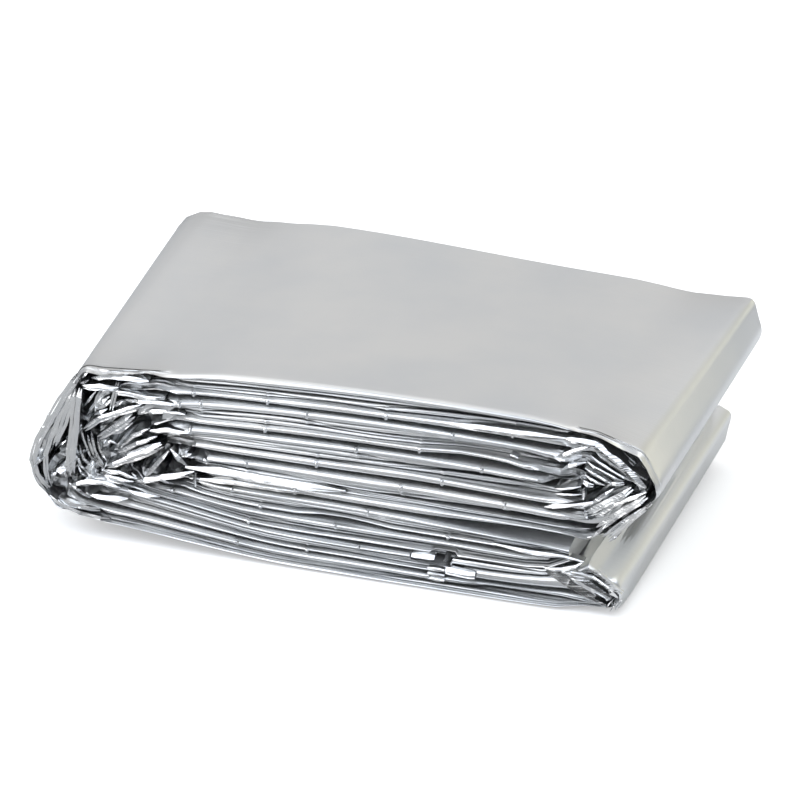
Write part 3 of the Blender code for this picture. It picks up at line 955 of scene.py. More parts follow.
TABS = tuck_table(
    (CREST, 0.2, 0.2, 0.0, 1, (103.3, 33.8), (105.0, 33.4)),
    (BRIGHT, 0.4, 0.4, -0.2, 1, (82.6, 7.8), (87.5, 7.9)),
    (BRIGHT, 0.7, 0.7, -0.3, 2, (89.9, 5.4), (96.1, 5.2)),
    (CREST, 0.25, 0.25, 0.1, 1, (85.9, 5.1), (89.5, 5.0)),
    (CREST, 0.25, 0.25, 0.1, 1, (85.9, 3.9), (89.5, 3.8)),
    (CREST, 0.25, 0.25, 0.1, 1, (85.9, 2.8), (89.5, 2.7)),
)

OUTER_TUCKS = tuck_table(
    (CHEEK, 0.5, 0.45, 0.5, 2, (4.8, 9.7), (4.1, 13.7), (4.1, 17.2), (5.4, 21.5), (6.9, 25.7),
     (9.1, 30.7)),
    (CHEEK, 1.0, 1.1, 0.2, 3, (5.5, 19.6), (7.2, 23.6), (8.5, 27.5), (10.5, 32.9)),
    (CHEEK, 0.8, 0.8, -0.1, 3, (4.5, 9.5), (2.4, 12.6), (1.5, 15.9), (2.8, 20.7), (5.2, 25.7),
     (7.8, 30.8), (11.4, 36.7)),
    (DULL, 0.25, 0.5, -0.2, 1, (5.0, 8.2), (7.6, 6.8), (11.9, 5.7), (17.9, 4.8)),
    (CHEEK, 0.5, 0.5, -0.1, 2, (124.0, 18.0), (128.5, 22.9), (133.0, 27.6)),
    (CREST, 0.4, 0.3, -0.1, 1, (120.9, 17.8), (123.9, 22.0)),
    (CREST, 0.4, 0.3, -0.1, 1, (124.1, 17.4), (126.7, 20.1)),
    (CREST, 0.35, 0.3, -0.3, 1, (110.4, 9.2), (114.6, 9.7), (117.4, 10.6), (118.9, 11.8)),
    (CREST, 0.25, 0.25, -0.3, 1, (114.6, 9.8), (121.0, 9.2), (125.7, 6.3)),
    (CHEEK, 0.3, 0.5, 0.0, 2, (121.4, 10.2), (124.6, 8.4), (127.2, 6.3)),
    (DULL, 0.4, 0.5, 0.0, 1, (123.7, 7.5), (126.1, 4.7)),
    (BRIGHT, 0.2, 0.2, -0.8, 1, (123.8, 2.4), (124.9, 4.2)),
    (BRIGHT, 0.2, 0.25, -0.8, 1, (124.6, 1.9), (125.7, 3.9)),
    (BRIGHT, 0.2, 0.2, -0.8, 1, (125.7, 2.3), (126.4, 4.2)),
    (BRIGHT, 0.2, 0.2, -0.6, 1, (126.3, 3.2), (127.2, 4.9)),
)


class Hollow(NamedTuple):
    """A place where the turns lie further in than the rest, behind the tucks."""

    x: float
    z: float
    half_x: float
    half_z: float
    depth: float


HOLLOWS = rows_of(
    Hollow,
    (18.0, 26.0, 8.5, 10.0, 3.0),
    (22.5, 20.0, 12.0, 6.5, 2.6),
    (122.5, 31.5, 9.5, 7.5, 2.2),
    (113.5, 27.7, 6.0, 1.8, 4.0),
)


CREASE_TAPER = 0.45  # how much narrower a crease is at its end
CREASE_GAIN = 3.0  # how soon a crease comes in as the film gets looser
HOLLOW_RIM = (1.0, 0.55)  # the part of a hollow's half width over which it deepens
HOLLOW_REACH = 8.0  # how far in towards the back a hollow fades away
RIDGE_TURN = math.radians(24.0)  # slope of the long ridges at the left end
RIDGES_FROM_RIGHT = (62.0, 50.0)
FAN_FROM = 32.0  # left of here the inner folds' front edges lean down and draw together
FAN_WIDTH = 17.0
FAN_SLOPE = 0.32
FAN_REACH = 7.0
FAN_FROM_BELOW = (15.0, 25.0)
FAN_FROM_ABOVE = (36.5, 31.5)
PINCH_HEIGHT = 3.2  # height at which the loose end's corner is pinched together
PINCH_SHARE = 0.65
PINCH_REACH = 5.0
PINCH_FROM_LEFT = (112.0, 125.5)
PINCH_FROM_ABOVE = (8.5, 5.5)


class Crumple(NamedTuple):
    """One size of crumple: facets read at some places, and how much they move the film."""

    seed: int
    places: Array
    cell: Triple
    size: Triple
    amount: Array


class Nick(NamedTuple):
    """A small tab that stands out from a strip's front edge."""

    panel: int
    x: float


NICKS = rows_of(
    Nick,
    (1, 35.6), (1, 51.5), (1, 77.0), (1, 103.5), (2, 33.0), (2, 37.5), (2, 60.0),
    (2, 91.0), (3, 51.0), (3, 84.0), (4, 33.5), (4, 70.5), (4, 97.0), (5, 62.0),
    (5, 88.5), (6, 47.0), (6, 80.0), (6, 102.0), (7, 57.5), (8, 44.0), (8, 73.0),
    (9, 50.0), (9, 90.0), (10, 26.5), (10, 66.0), (11, 47.5), (12, 71.0), (13, 60.0),
    (14, 45.0), (14, 86.0),
)
NICK_HALF = 0.45  # half the length of a nick along the strip
NICK_STATIONS = (-1.0, -0.35, 0.35, 1.0)  # rows of points across a nick, in that half length
STEP_LIKE = 1.5  # a bulge whose ends are shorter than this begins and ends in a step


# ---- The plies across the strip


class Zone(Enum):
    """Where a ply is, across the strip: its three thirds shift height between these."""

    FRONT = "in front"
    MIDDLE = "in the middle"
    BACK = "at the back"


class Third(Enum):
    """Which third of the strip's thickness a ply belongs to."""

    UPPER = "upper"
    MIDDLE = "middle"
    LOWER = "lower"


@dataclass
class StripSection:
    """How the eighteen plies lie across the strip, at every station along it.

    The upper, middle and lower thirds of the strip hold six plies each. Six passes of the
    film go through all three: the upper and the middle third join round the front, the
    middle and the lower one round the back. Between passes the film turns at the lower
    third's front edge or at the upper third's back edge. Heights are shares of the strip's
    thickness, from -0.5 below to 0.5 above.
    """

    travel: Array  # length along the strip at each station
    slack: Array  # how loose the film is there, from 0 to 1
    outer: Array  # whether the upper face is the outer one of a fold, from -1 to 1
    nicks: Array  # height of the nick there, from 0 to 1
    sunk: Array  # how much further in than elsewhere the lower third's turns lie there
    broad_places: tuple[float, ...] = (
        72.2, 71.2, 69.0, 64.0, 54.0, 42.0, 30.0, 19.0, 11.0, 6.5, 4.3, 2.9, 2.0,
    )
    back_zone: float = 68.0  # further back than this a place is in the back zone
    front_zone: float = 6.0
    passes: int = 6
    wrap_steps: int = 10
    back_wrap_steps: int = 7
    turn_steps: int = 6
    nest: float = 0.16  # how much further in each pass turns inside its neighbour
    loose_nest: float = 0.2  # and by how much the joins at the back do
    wrap_reach: float = 1.35  # depth of the wraps round the front and the back
    turn_reach: float = 0.75  # and of the small turns
    roundness: float = 0.8
    margin: float = 0.25  # from the strip's edges to the outermost wraps
    loose_margin: float = 0.45  # and to the turns at the back
    behind_wrap: float = 2.2  # from a wrap to the next point of its ply
    behind_edge: float = 1.0
    behind_lobe: float = 2.0
    wrapped: float = 0.62  # share of the thickness that wraps round the front, or the back
    wrapped_loose: float = 0.26  # how much more where the film is loose
    front_swell: Wave = Wave(0.10, 46.0)
    front_ripple: Wave = Wave(0.06, 15.0, 3)
    front_facet: Wave = Wave(0.05, 5.0, 4, True)
    back_swell: Wave = Wave(0.08, 39.0, 9)
    proud_swell: Wave = Wave(0.30, 23.0, 5)
    proud_loose: Wave = Wave(0.5, 6.0, 6)
    proud_nick: float = 0.45
    proud_back: Wave = Wave(0.35, 27.0, 8)
    loose_back_swell: Wave = Wave(0.4, 21.0, 70)
    sharp_band: Stretch = (0.25, 0.7)  # looseness over which round wraps become creased
    apex_lean: float = 0.24  # how far a crease lies towards a fold's outer face
    apex_wave: Wave = Wave(0.2, 6.0, 90, True)
    roof: float = 1.7  # how much deeper a creased wrap is than a round one
    roof_wave: Wave = Wave(0.9, 8.0, 100, True)
    lobes: int = 3  # how many of the small turns lie over each other in front
    lobe_least: float = 0.04
    lobe_swell: Wave = Wave(0.5, 21.0, 60)
    lobe_loose: Wave = Wave(1.0, 5.0, 65)
    lobe_depth: float = 0.9  # how far behind the front they lie
    lobe_with_front: float = 0.6
    lobe_sunk_loose: float = 1.6
    lobe_sunk_thin: float = 2.4
    uneven: Unevenness = Unevenness(11)
    across: Array = field(init=False)  # station, column: place across the strip
    share: Array = field(init=False)  # station, column: height

    def __post_init__(self) -> None:
        """Lay the plies at each station."""
        uneven, travel, slack, outer = self.uneven, self.travel, self.slack, self.outer
        front = self.wrapped + uneven.of(self.front_swell, travel)
        front = front + uneven.of(self.front_ripple, travel)
        front = front + slack * (self.wrapped_loose + uneven.of(self.front_facet, travel))
        back = self.wrapped + uneven.of(self.back_swell, travel)
        edges = {
            Zone.FRONT: (0.5 - front / 2, 0.5 - front),
            Zone.MIDDLE: (np.full_like(front, 1 / 6), np.full_like(front, -1 / 6)),
            Zone.BACK: (back - 0.5, back / 2 - 0.5),
        }
        proud = uneven.of(self.proud_swell, travel) + slack * uneven.of(self.proud_loose, travel)
        proud = proud + self.proud_nick * self.nicks
        back_proud = uneven.of(self.proud_back, travel)
        sharpness = ease(slack, self.sharp_band)
        columns: list[tuple[Array, Array]] = []

        def put(y: Array | float, height: Array) -> None:
            """Add a column of points at a place across the strip and a height."""
            columns.append((np.broadcast_to(y, travel.shape), height))

        def level(third: Third, ply: int, zone: Zone) -> Array:
            """Height of a ply at every station.

            Args:
                third: The third that it is seen in.
                ply: The pass that it belongs to.
                zone: Where it is across the strip.

            Returns:
                One height for each station.
            """
            upper, lower = edges[zone]
            start, end = {
                Third.UPPER: (0.5, upper),
                Third.MIDDLE: (lower, upper),
                Third.LOWER: (lower, -0.5),
            }[third]
            return start + (end - start) * ((ply + 0.5) / self.passes)

        def wrap(start: Array, end: Array, edge: Array, reach: float, ply: int, steps: int) -> None:
            """Add the columns that take a ply round an edge.

            Args:
                start: Height at which the ply arrives.
                end: Height at which it leaves.
                edge: Place of the outermost point across the strip.
                reach: How far behind that the wrap begins.
                ply: The pass that it belongs to.
                steps: Into how many pieces the wrap is cut.
            """
            middle, half = (start + end) / 2, (start - end) / 2
            apex = 0.5 + self.apex_lean * outer + uneven.of(self.apex_wave, travel, ply)
            roof = reach * (self.roof + uneven.of(self.roof_wave, travel, ply))
            for step in range(1, steps):
                share = step / steps
                angle = math.pi * share
                bow = reach * (1 - math.sin(angle) ** self.roundness)
                slope = roof * np.where(share < apex, 1 - share / apex, (share - apex) / (1 - apex))
                round_height = middle + half * math.cos(angle)
                straight_height = start + (end - start) * share
                y = edge + bow + (slope - bow) * sharpness
                put(y, round_height + (straight_height - round_height) * sharpness)

        lobe_tops, lobe_edges = self._small_turns(proud, edges[Zone.FRONT][1])
        for ply in range(self.passes):
            outer_front = self.margin - proud + self.nest * ply
            outer_back = STRIP_WIDTH - self.margin + back_proud
            outer_back = outer_back - self.nest * (self.passes - 1 - ply)
            loose_back = STRIP_WIDTH - self.loose_margin + uneven.of(
                self.loose_back_swell, travel, (ply + 1) // 2
            )
            lobe_edge = lobe_edges[ply // 2]
            begin = len(columns)
            if ply == 0:
                for place in self.broad_places:
                    in_front = Zone.FRONT if place < self.front_zone else Zone.MIDDLE
                    zone = Zone.BACK if place > self.back_zone else in_front
                    put(place, level(Third.UPPER, ply, zone))
                wrap(
                    level(Third.UPPER, ply, Zone.FRONT), level(Third.MIDDLE, ply, Zone.FRONT),
                    outer_front, self.wrap_reach, ply, self.wrap_steps,
                )
                put(outer_front + self.behind_wrap, level(Third.MIDDLE, ply, Zone.FRONT))
            else:
                put(loose_back, level(Third.UPPER, ply, Zone.BACK))
                put(outer_front + self.behind_edge, level(Third.UPPER, ply, Zone.FRONT))
                put(outer_front + self.behind_edge, level(Third.MIDDLE, ply, Zone.FRONT))
            inside_back = outer_back - self.behind_wrap
            middle_back = level(Third.MIDDLE, ply, Zone.BACK)
            lower_back = level(Third.LOWER, ply, Zone.BACK)
            put(inside_back, middle_back)
            if ply == self.passes - 1:
                wrap(
                    middle_back, lower_back,
                    outer_back, -self.wrap_reach, ply, self.back_wrap_steps,
                )
                put(inside_back, lower_back)
                put(STRIP_WIDTH / 2, level(Third.LOWER, ply, Zone.MIDDLE))
            else:
                put(outer_back - self.behind_edge / 2, (middle_back + lower_back) / 2)
                put(inside_back, lower_back)
            put(lobe_edge + self.behind_lobe, level(Third.LOWER, ply, Zone.FRONT))
            if ply % 2:
                columns[begin:] = columns[begin:][::-1]
                if ply + 1 < self.passes:
                    here, following = (
                        level(Third.UPPER, number, Zone.BACK) for number in (ply, ply + 1)
                    )
                    put(loose_back + self.loose_nest, (here + following) / 2)
            else:
                top, bottom = lobe_tops[ply // 2], lobe_tops[ply // 2 + 1]
                wrap(top, bottom, lobe_edge, self.turn_reach, ply, self.turn_steps)

        self.across = np.stack([place for place, _ in columns], axis=1)
        self.share = np.stack([height for _, height in columns], axis=1)

    def _small_turns(self, proud: Array, top: Array) -> tuple[list[Array], list[Array]]:
        """The small turns that lie over each other at the lower third's front edge.

        Args:
            proud: How far the wrap round the front stands out at each station.
            top: Height there of the lower third's upper face.

        Returns:
            The heights between the turns, and the place of each across the strip.
        """
        uneven, travel, slack = self.uneven, self.travel, self.slack
        lobes = [0.5 + uneven.of(self.lobe_swell, travel, k) for k in range(self.lobes)]
        lobes = [
            self.lobe_least + lobe**3 + slack * uneven.of(self.lobe_loose, travel, k) ** 2
            for k, lobe in enumerate(lobes)
        ]
        total = sum(lobes)
        lobes = [lobe / total for lobe in lobes]
        thickness = top + 0.5
        tops = [
            top,
            top - lobes[0] * thickness,
            top - (lobes[0] + lobes[1]) * thickness,
            np.full_like(top, -0.5),
        ]
        places = [
            self.lobe_depth - self.lobe_with_front * proud + self.lobe_sunk_loose * slack
            + self.sunk + self.lobe_sunk_thin * np.clip(0.5 - lobe, 0, 1)
            for lobe in lobes
        ]
        return tops, places


# ---- Finishes


class NodeBench:
    """A node tree being built: adds nodes and feeds their inputs."""

    def __init__(self, tree: bpy.types.NodeTree) -> None:
        """Work on this tree."""
        self.tree = tree

    def add(self, kind: str, inputs: Inputs | None = None, **values: object) -> bpy.types.Node:
        """Add a node.

        Args:
            kind: Blender's name for the node's type.
            inputs: What each input gets: a value, or another node's output.
            values: Properties of the node.

        Returns:
            The new node.
        """
        made = self.tree.nodes.new(kind)
        for name, value in values.items():
            setattr(made, name, value)
        self.feed(made, inputs or {})
        return made

    def sum(self, operation: str, first: object, second: object = 0.0) -> Socket:
        """A sum on two numbers, or on the first alone."""
        made = self.add("ShaderNodeMath", {0: first, 1: second}, operation=operation)
        return made.outputs["Value"]

    def feed(self, node: bpy.types.Node, inputs: Inputs) -> None:
        """Feed a node's inputs.

        Args:
            node: The node.
            inputs: What each input gets: a value, or another node's output.
        """
        for name, given in inputs.items():
            if isinstance(given, Socket):
                self.tree.links.new(given, node.inputs[name])
            else:
                node.inputs[name].default_value = given


def begin_material(name: str) -> tuple[Material, NodeBench, bpy.types.Node]:
    """A new material.

    Args:
        name: Its name.

    Returns:
        The material, its bench and its shader.
    """
    material = bpy.data.materials.new(name)
    material.use_nodes = True
    tree = material.node_tree
    return material, NodeBench(tree), tree.nodes["Principled BSDF"]


@dataclass(frozen=True)
class FilmFinish:
    """Bright aluminised polyester: a mirror with fine drawn lines and faint clouding."""

    name: str = "aluminised film"
    pale: Triple = (0.93, 0.93, 0.925)
    cool: Triple = (0.86, 0.875, 0.89)
    broad_roughness: float = 0.42
    edge_roughness: float = 0.25
    line_pitch: float = 0.0012  # distance between the fine lines along the strip, metres
    line_length: float = 0.05
    line_detail: float = 3.0
    line_relief: float = 0.15  # how strongly they show
    turn_pitch: float = 0.0005  # distance between the lines pressed into the turns
    turn_detail: float = 1.0
    turn_relief: float = 0.5
    relief_depth: float = 0.0002  # depth of both kinds of line, metres
    cloud_size: float = 0.03
    cloud_detail: float = 4.0
    cloud_band: Stretch = (0.35, 0.65)  # the part of the clouding over which the tint turns

    def make(self) -> Material:
        """Build the material.

        Returns:
            The material, with its lines and clouding laid out on the flat sheet.
        """
        material, bench, shader = begin_material(self.name)
        sheet = bench.add("ShaderNodeUVMap", uv_map="sheet").outputs["UV"]
        clouded = self._noise(bench, sheet, 1.0 / self.cloud_size, self.cloud_detail)
        tint = bench.add("ShaderNodeValToRGB", {"Fac": clouded})
        stops = zip(tint.color_ramp.elements, self.cloud_band, (self.cool, self.pale))
        for element, position, colour in stops:
            element.position = position
            element.color = (*colour, 1.0)
        edge = bench.add("ShaderNodeAttribute", attribute_name="edge").outputs["Fac"]
        gloss = {"Value": edge, "To Min": self.broad_roughness, "To Max": self.edge_roughness}
        gloss = bench.add("ShaderNodeMapRange", gloss).outputs["Result"]
        lines = self._lines(bench, sheet, self.line_pitch, self.line_detail)
        relief = {"Strength": self.line_relief, "Distance": self.relief_depth, "Height": lines}
        drawn = bench.add("ShaderNodeBump", relief).outputs["Normal"]
        strength = bench.sum("MULTIPLY", edge, self.turn_relief)
        lines = self._lines(bench, sheet, self.turn_pitch, self.turn_detail)
        relief = {"Strength": strength, "Distance": self.relief_depth, "Height": lines}
        pressed = bench.add("ShaderNodeBump", relief | {"Normal": drawn}).outputs["Normal"]
        tint = tint.outputs["Color"]
        surface = {"Base Color": tint, "Roughness": gloss, "Normal": pressed, "Metallic": 1.0}
        bench.feed(shader, surface)
        return material

    @staticmethod
    def _noise(bench: NodeBench, place: Socket, scale: float, detail: float) -> Socket:
        """Soft noise over a surface."""
        inputs = {"Vector": place, "Scale": scale, "Detail": detail}
        return bench.add("ShaderNodeTexNoise", inputs).outputs["Fac"]

    def _lines(self, bench: NodeBench, sheet: Socket, pitch: float, detail: float) -> Socket:
        """Fine lines along the strip.

        Args:
            bench: The material's bench.
            sheet: Places on the flat sheet.
            pitch: Distance between the lines, metres.
            detail: How many finer sets lie over them.

        Returns:
            Their height.
        """
        inputs = {"Vector": sheet, "Scale": (1.0 / self.line_length, 1.0 / pitch, 1.0)}
        stretched = bench.add("ShaderNodeMapping", inputs).outputs["Vector"]
        return self._noise(bench, stretched, 1.0, detail)


@dataclass(frozen=True)
class FloorFinish:
    """The pale floor: white to look at, and a softer grey in what the film mirrors: painted shade
    in the film's reflections, with a painted paler band beside the loose end.
    """

    name: str = "pale floor"
    white: float = 0.93
    # painted shade: the floor's tone in the film's reflections, greyer than the white that the
    # camera sees
    mirrored: float = 0.40
    painted_light_beside: float = 0.72  # painted light: a paler tone than the rest of the mirrored floor, on a band of floor beside the loose end
    beside_x: float = 0.085  # middle of that band, metres
    beside_half: Stretch = (0.022, 0.042)  # half its width, where full and in all
    glow: float = 0.35  # keeps the shadow on it faint
    roughness: float = 0.8
    shine: float = 0.1

    def make(self) -> Material:
        """Build the material.

        Returns:
            The material.
        """
        material, bench, shader = begin_material(self.name)
        # painted shade and light in reflections: camera rays see the white floor, the film's mirror
        # rays see the grey tone and the paler painted band
        seen = bench.add("ShaderNodeLightPath").outputs["Is Camera Ray"]
        place = bench.add("ShaderNodeNewGeometry").outputs["Position"]
        along = bench.add("ShaderNodeSeparateXYZ", {"Vector": place}).outputs["X"]
        away = bench.sum("ABSOLUTE", bench.sum("SUBTRACT", along, self.beside_x))
        full, none = self.beside_half
        band = {"Value": away, "From Min": full, "From Max": none}
        tones = {"To Min": self.painted_light_beside, "To Max": self.mirrored}
        painted_mirror_tone = bench.add("ShaderNodeMapRange", band | tones).outputs["Result"]
        tones = {"Value": seen, "To Min": painted_mirror_tone, "To Max": self.white}
        tone = bench.add("ShaderNodeMapRange", tones).outputs["Result"]
        glow = bench.sum("MULTIPLY", seen, self.glow)
        surface = {"Roughness": self.roughness, "Specular IOR Level": self.shine}
        glowing = {"Emission Color": (1.0, 1.0, 1.0, 1.0), "Emission Strength": glow}
        bench.feed(shader, surface | glowing | {"Base Color": tone})
        return material


@dataclass(frozen=True)
class BlackCardFinish:
    """Dull black card."""

    name: str = "black card"
    black: float = 0.02

    def make(self) -> Material:
        """Build the material.

        Returns:
            The material.
        """
        material, bench, shader = begin_material(self.name)
        tone = (self.black, self.black, self.black, 1.0)
        bench.feed(shader, {"Base Color": tone, "Specular IOR Level": 0.0})
        return material


# ---- The blanket


@dataclass(frozen=True)
class TuckMaker:
    """Shapes the narrow folds that stand out of the crushed turns."""

    step: float = 0.9  # between the rows of points along a tuck
    behind: float = 6.0  # how far the flanks go on back into the packet
    least_width: float = 0.25  # width at the ends, as a share of the full width
    tapering: float = 2.5  # length over which the width grows from that
    dive: float = 0.9  # how far the two ends dip in
    uneven: float = 0.22  # how unevenly the flanks run
    wander: float = 0.10  # how far the ridge strays from its line
    facet_turn: float = 0.30  # how unevenly the flanks lean
    overlap: float = 0.12  # how far behind its neighbour every other strand lies
    closing: float = 0.1  # how far a flank turns in behind its foot
    depth_wave: Wave = Wave(1.0, 2.4, 3, True)
    aside_wave: Wave = Wave(1.0, 3.1, 4, True)
    ragged_wave: Wave = Wave(1.0, 2.0, 5, True)
    lean_wave: Wave = Wave(1.0, 1.7, 8, True)
    seed: int = 200

    def strands(self, tuck: Tuck, number: int) -> list[Array]:
        """Points of each of the narrow folds that lie side by side in a tuck.

        Args:
            tuck: The tuck.
            number: A whole number that tells the tucks apart.

        Returns:
            One array of places for each, as rows gives them.
        """
        if tuck.strands == 1:
            return [self.rows(tuck, 10 * number)]
        corners = np.array(tuck.line)
        aside = self._aside(np.gradient(corners, axis=0))
        half = (tuck.left + tuck.right) / (2 * tuck.strands)
        found = []
        for strand in range(tuck.strands):
            offset = tuck.left - half * (2 * strand + 1)
            line = tuple(map(tuple, corners + aside * offset))
            proud = tuck.proud + self.overlap * (strand % 2)
            narrow = tuck._replace(left=half, right=half, line=line, proud=proud)
            found.append(self.rows(narrow, 10 * number + strand))
        return found

    def rows(self, tuck: Tuck, number: int) -> Array:
        """Points of a tuck: five across it at each place along it.

        Args:
            tuck: The tuck.
            number: A whole number that tells the tucks apart.

        Returns:
            An array of places, (rows, 5, 3), in the packet's own millimetres.
        """
        corners = np.array(tuck.line)
        run = np.concatenate([[0.0], np.cumsum(np.hypot(*np.diff(corners, axis=0).T))])
        length = run[-1]
        count = max(3, round(length / self.step) + 1)
        places = np.unique(np.concatenate([np.linspace(0.0, length, count), run[1:-1]]))
        ridge = np.stack([np.interp(places, run, corners[:, axis]) for axis in range(2)], axis=1)
        aside = self._aside(np.gradient(ridge, places, axis=0))

        noise = Unevenness(self.seed + number)
        from_end = np.minimum(places, length - places)
        taper = np.clip(self.least_width + from_end / self.tapering, 0.0, 1.0)
        depth = tuck.proud + self.dive * (1.0 - taper)
        depth = depth + self.wander * noise.of(self.depth_wave, places)
        ridge = ridge + aside * (self.wander * noise.of(self.aside_wave, places))[:, None]

        rows = []
        for side, width, back in ((1, tuck.left, 0), (-1, tuck.right, 1)):
            ragged = 1.0 + self.uneven * noise.of(self.ragged_wave, places, side)
            reach = width * taper * ragged
            lean = self.facet_turn * noise.of(self.lean_wave, places, side)
            slope = tuck.bend.value[back] + lean
            foot = ridge + side * aside * reach[:, None]
            foot = np.stack([foot[:, 0], depth + slope * reach, foot[:, 1]], axis=1)
            outwards = np.stack([aside[:, 0], 0 * places, aside[:, 1]], axis=1)
            inner = foot - outwards * self.closing * side
            inner[:, 1] += self.behind
            rows += [inner, foot] if side > 0 else [foot, inner]
        top = np.stack([ridge[:, 0], depth, ridge[:, 1]], axis=1)
        return np.stack([rows[0], rows[1], top, rows[2], rows[3]], axis=1)

    @staticmethod
    def _aside(along: Array) -> Array:
        """Directions square to some others, to their left.

        Args:
            along: Directions of any length, as (x, z).

        Returns:
            One direction of length 1 for each.
        """
        along = along / np.linalg.norm(along, axis=1, keepdims=True)
        return np.stack([-along[:, 1], along[:, 0]], axis=1)


TUCK_GROUPS = (
    (TuckMaker(), TUCKS),
    (TuckMaker(least_width=0.85, tapering=0.5, dive=0.3, behind=2.0), TABS),
    (TuckMaker(behind=0.6), OUTER_TUCKS),
    (TuckMaker(behind=2.0, tapering=9.0, uneven=0.05, wander=0.03, facet_turn=0.06), BROAD_TUCKS),
)


@dataclass
class FoilBlanket:
    """The one sheet of film, folded lengthwise into a strip and crosswise into a packet."""

    width: float = 1.30  # metres, the sheet's size before folding
    length: float = 2.10
    fold_spacing: float = 0.8  # between stations round the folds
    run_spacing: float = 5.0  # between stations along the panels
    thickest_half: float = 2.2  # from the strip's middle to either face, between neighbours
    finish: FilmFinish = FilmFinish()
    tuck_looseness: float = 0.5
    sunk_right: float = 2.2  # how much further in the small turns lie in the upper right
    sunk_panels: int = 7  # in how many panels, from the top
    sunk_from: Stretch = (70.0, 112.0)
    front_reach: float = 6.0  # how far in from the front edge a bulge fades
    droop: float = 0.35  # how far the top of each wrap comes down
    droop_reach: float = 1.7
    nick_spread: float = 1.4
    nick_rise: float = 0.45
    nick_reach: float = 0.7
    swell: Wave = Wave(0.08, 30.0, 1)
    edge_reach: float = 1.5  # how far in from the edge the film is brighter
    loose_reach: float = 6.0  # how far in from the edges loose film is crumpled
    ragged: float = 0.4  # how unevenly the strip fills its room where it is loose
    ragged_below: float = 0.35
    ragged_wave: Wave = Wave(1.0, 8.0, 0, True)
    even_wave: Wave = Wave(0.05, 33.0, 5)
    firm_left: float = 0.03  # how much fuller the panels are at the left
    firm_lost: float = 0.13  # and how much of that they lose towards the right
    firm_from: Stretch = (50.0, 110.0)
    open_room: Stretch = (6.0, 9.0)  # room over which a neighbour stops to count
    outer_calm: float = 0.85  # how much of its looseness a bare face loses
    route: FoldedRoute = field(default_factory=FoldedRoute)
    columns: Array = field(init=False)  # the route's column at each station
    travel: Array = field(init=False)  # length along the strip there
    slack: Array = field(init=False)  # how loose the film is there

    def build(self) -> Thing:
        """Make the film and dress it.

        Returns:
            The finished piece.
        """
        self.columns = self._stations()
        self.travel = self._along(self.route.travel)
        self.slack = self._along(self.route.slack)
        piece = self._weave()
        crumpled = FilmCrumple().apply(piece, self.finish.make())
        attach(crumpled, "root")
        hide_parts(FILM_NODE)
        return crumpled

    def _along(self, values: Array) -> Array:
        """The values of the route's columns, read at the stations."""
        return np.interp(self.columns, np.arange(len(values)), values)

    def _column_at(self, panel: int, x: float) -> float:
        """The column of the route that lies nearest to a place on a panel.

        Args:
            panel: Number of the panel, from the top.
            x: Place along the packet.

        Returns:
            The column.
        """
        on_panel = (self.route.panel == panel) & (self.route.slack < ON_RUN)
        away = np.where(on_panel, np.abs(self.route.places[0, :, 0] - x), FAR_AWAY)
        return float(away.argmin())

    def _stations(self) -> Array:
        """Columns of the route where the film gets a row of points.

        Returns:
            The columns, in order.
        """
        route = self.route
        spacing = self.run_spacing + (self.fold_spacing - self.run_spacing) * np.clip(
            route.slack * FOLD_GAIN, 0.0, 1.0
        )
        density = np.concatenate([[0.0], np.cumsum(np.diff(route.travel) / spacing[1:])])
        wanted = np.linspace(0.0, density[-1], int(density[-1]) + 1)
        regular = np.interp(wanted, density, np.arange(len(density)))
        offsets = np.array(NICK_STATIONS) * NICK_HALF / route.step
        extra = [
            self._column_at(nick.panel, nick.x) + offset
            for nick in NICKS
            for offset in offsets
        ]
        for bulge in BULGES:
            if bulge.ends < STEP_LIKE:
                for inwards in (0.0, bulge.ends / 2, bulge.ends):
                    for x in (bulge.start_x + inwards, bulge.end_x - inwards):
                        extra.append(self._column_at(bulge.panel, x))
        return np.unique(np.concatenate([regular, extra]))

    def _weave(self) -> Thing:
        """Lay the section's points along the route.

        Returns:
            The film, with only its larger creases yet.
        """
        route, columns, travel, slack = self.route, self.columns, self.travel, self.slack
        panel = np.round(self._along(route.panel.astype(float))).astype(int)
        front_x = self._along(route.places[0, :, 0])
        nicks = np.zeros_like(travel)
        for nick in NICKS:
            away = np.abs(columns - self._column_at(nick.panel, nick.x)) * route.step / NICK_HALF
            height = self.nick_spread - self.nick_spread * away
            nicks = np.maximum(nicks, np.clip(height, 0.0, 1.0))
        upper_right = (panel < self.sunk_panels) * ease(front_x, self.sunk_from) * (1.0 - slack)
        outer = self._along(route.outer)
        section = StripSection(travel, slack, outer, nicks, self.sunk_right * upper_right)
        across, share = section.across, section.share
        depth = across / STRIP_WIDTH
        places = route.read(route.places, columns, depth)
        normals = route.read(route.normals, columns, depth)

        above, below = self._halves(depth)
        near = np.clip(across, 0.0, None)
        by_front = np.exp(-((near / self.front_reach) ** 2))
        tuck = np.zeros_like(travel)
        for bulge in BULGES:
            start, end, ends = bulge.start_x, bulge.end_x, bulge.ends
            amount = ease(front_x, (start, start + ends)) * ease(front_x, (end, end - ends))
            amount = amount * (panel == bulge.panel)
            # on odd panels the strip lies the other way up
            up, down = (bulge.above, bulge.below)[:: -1 if bulge.panel % 2 else 1]
            above = above + up * amount[:, None] * by_front
            below = below + down * amount[:, None] * by_front
            tuck = tuck + bulge.tuck * amount
        rise = -below + (share + 0.5) * (above + below)
        on_top = np.clip(share * 2, 0.0, 1.0)
        rise = rise - self.droop * np.exp(-near / self.droop_reach) * on_top
        nicked = self.nick_rise * nicks[:, None] * np.exp(-near / self.nick_reach)
        rise = rise + nicked * on_top

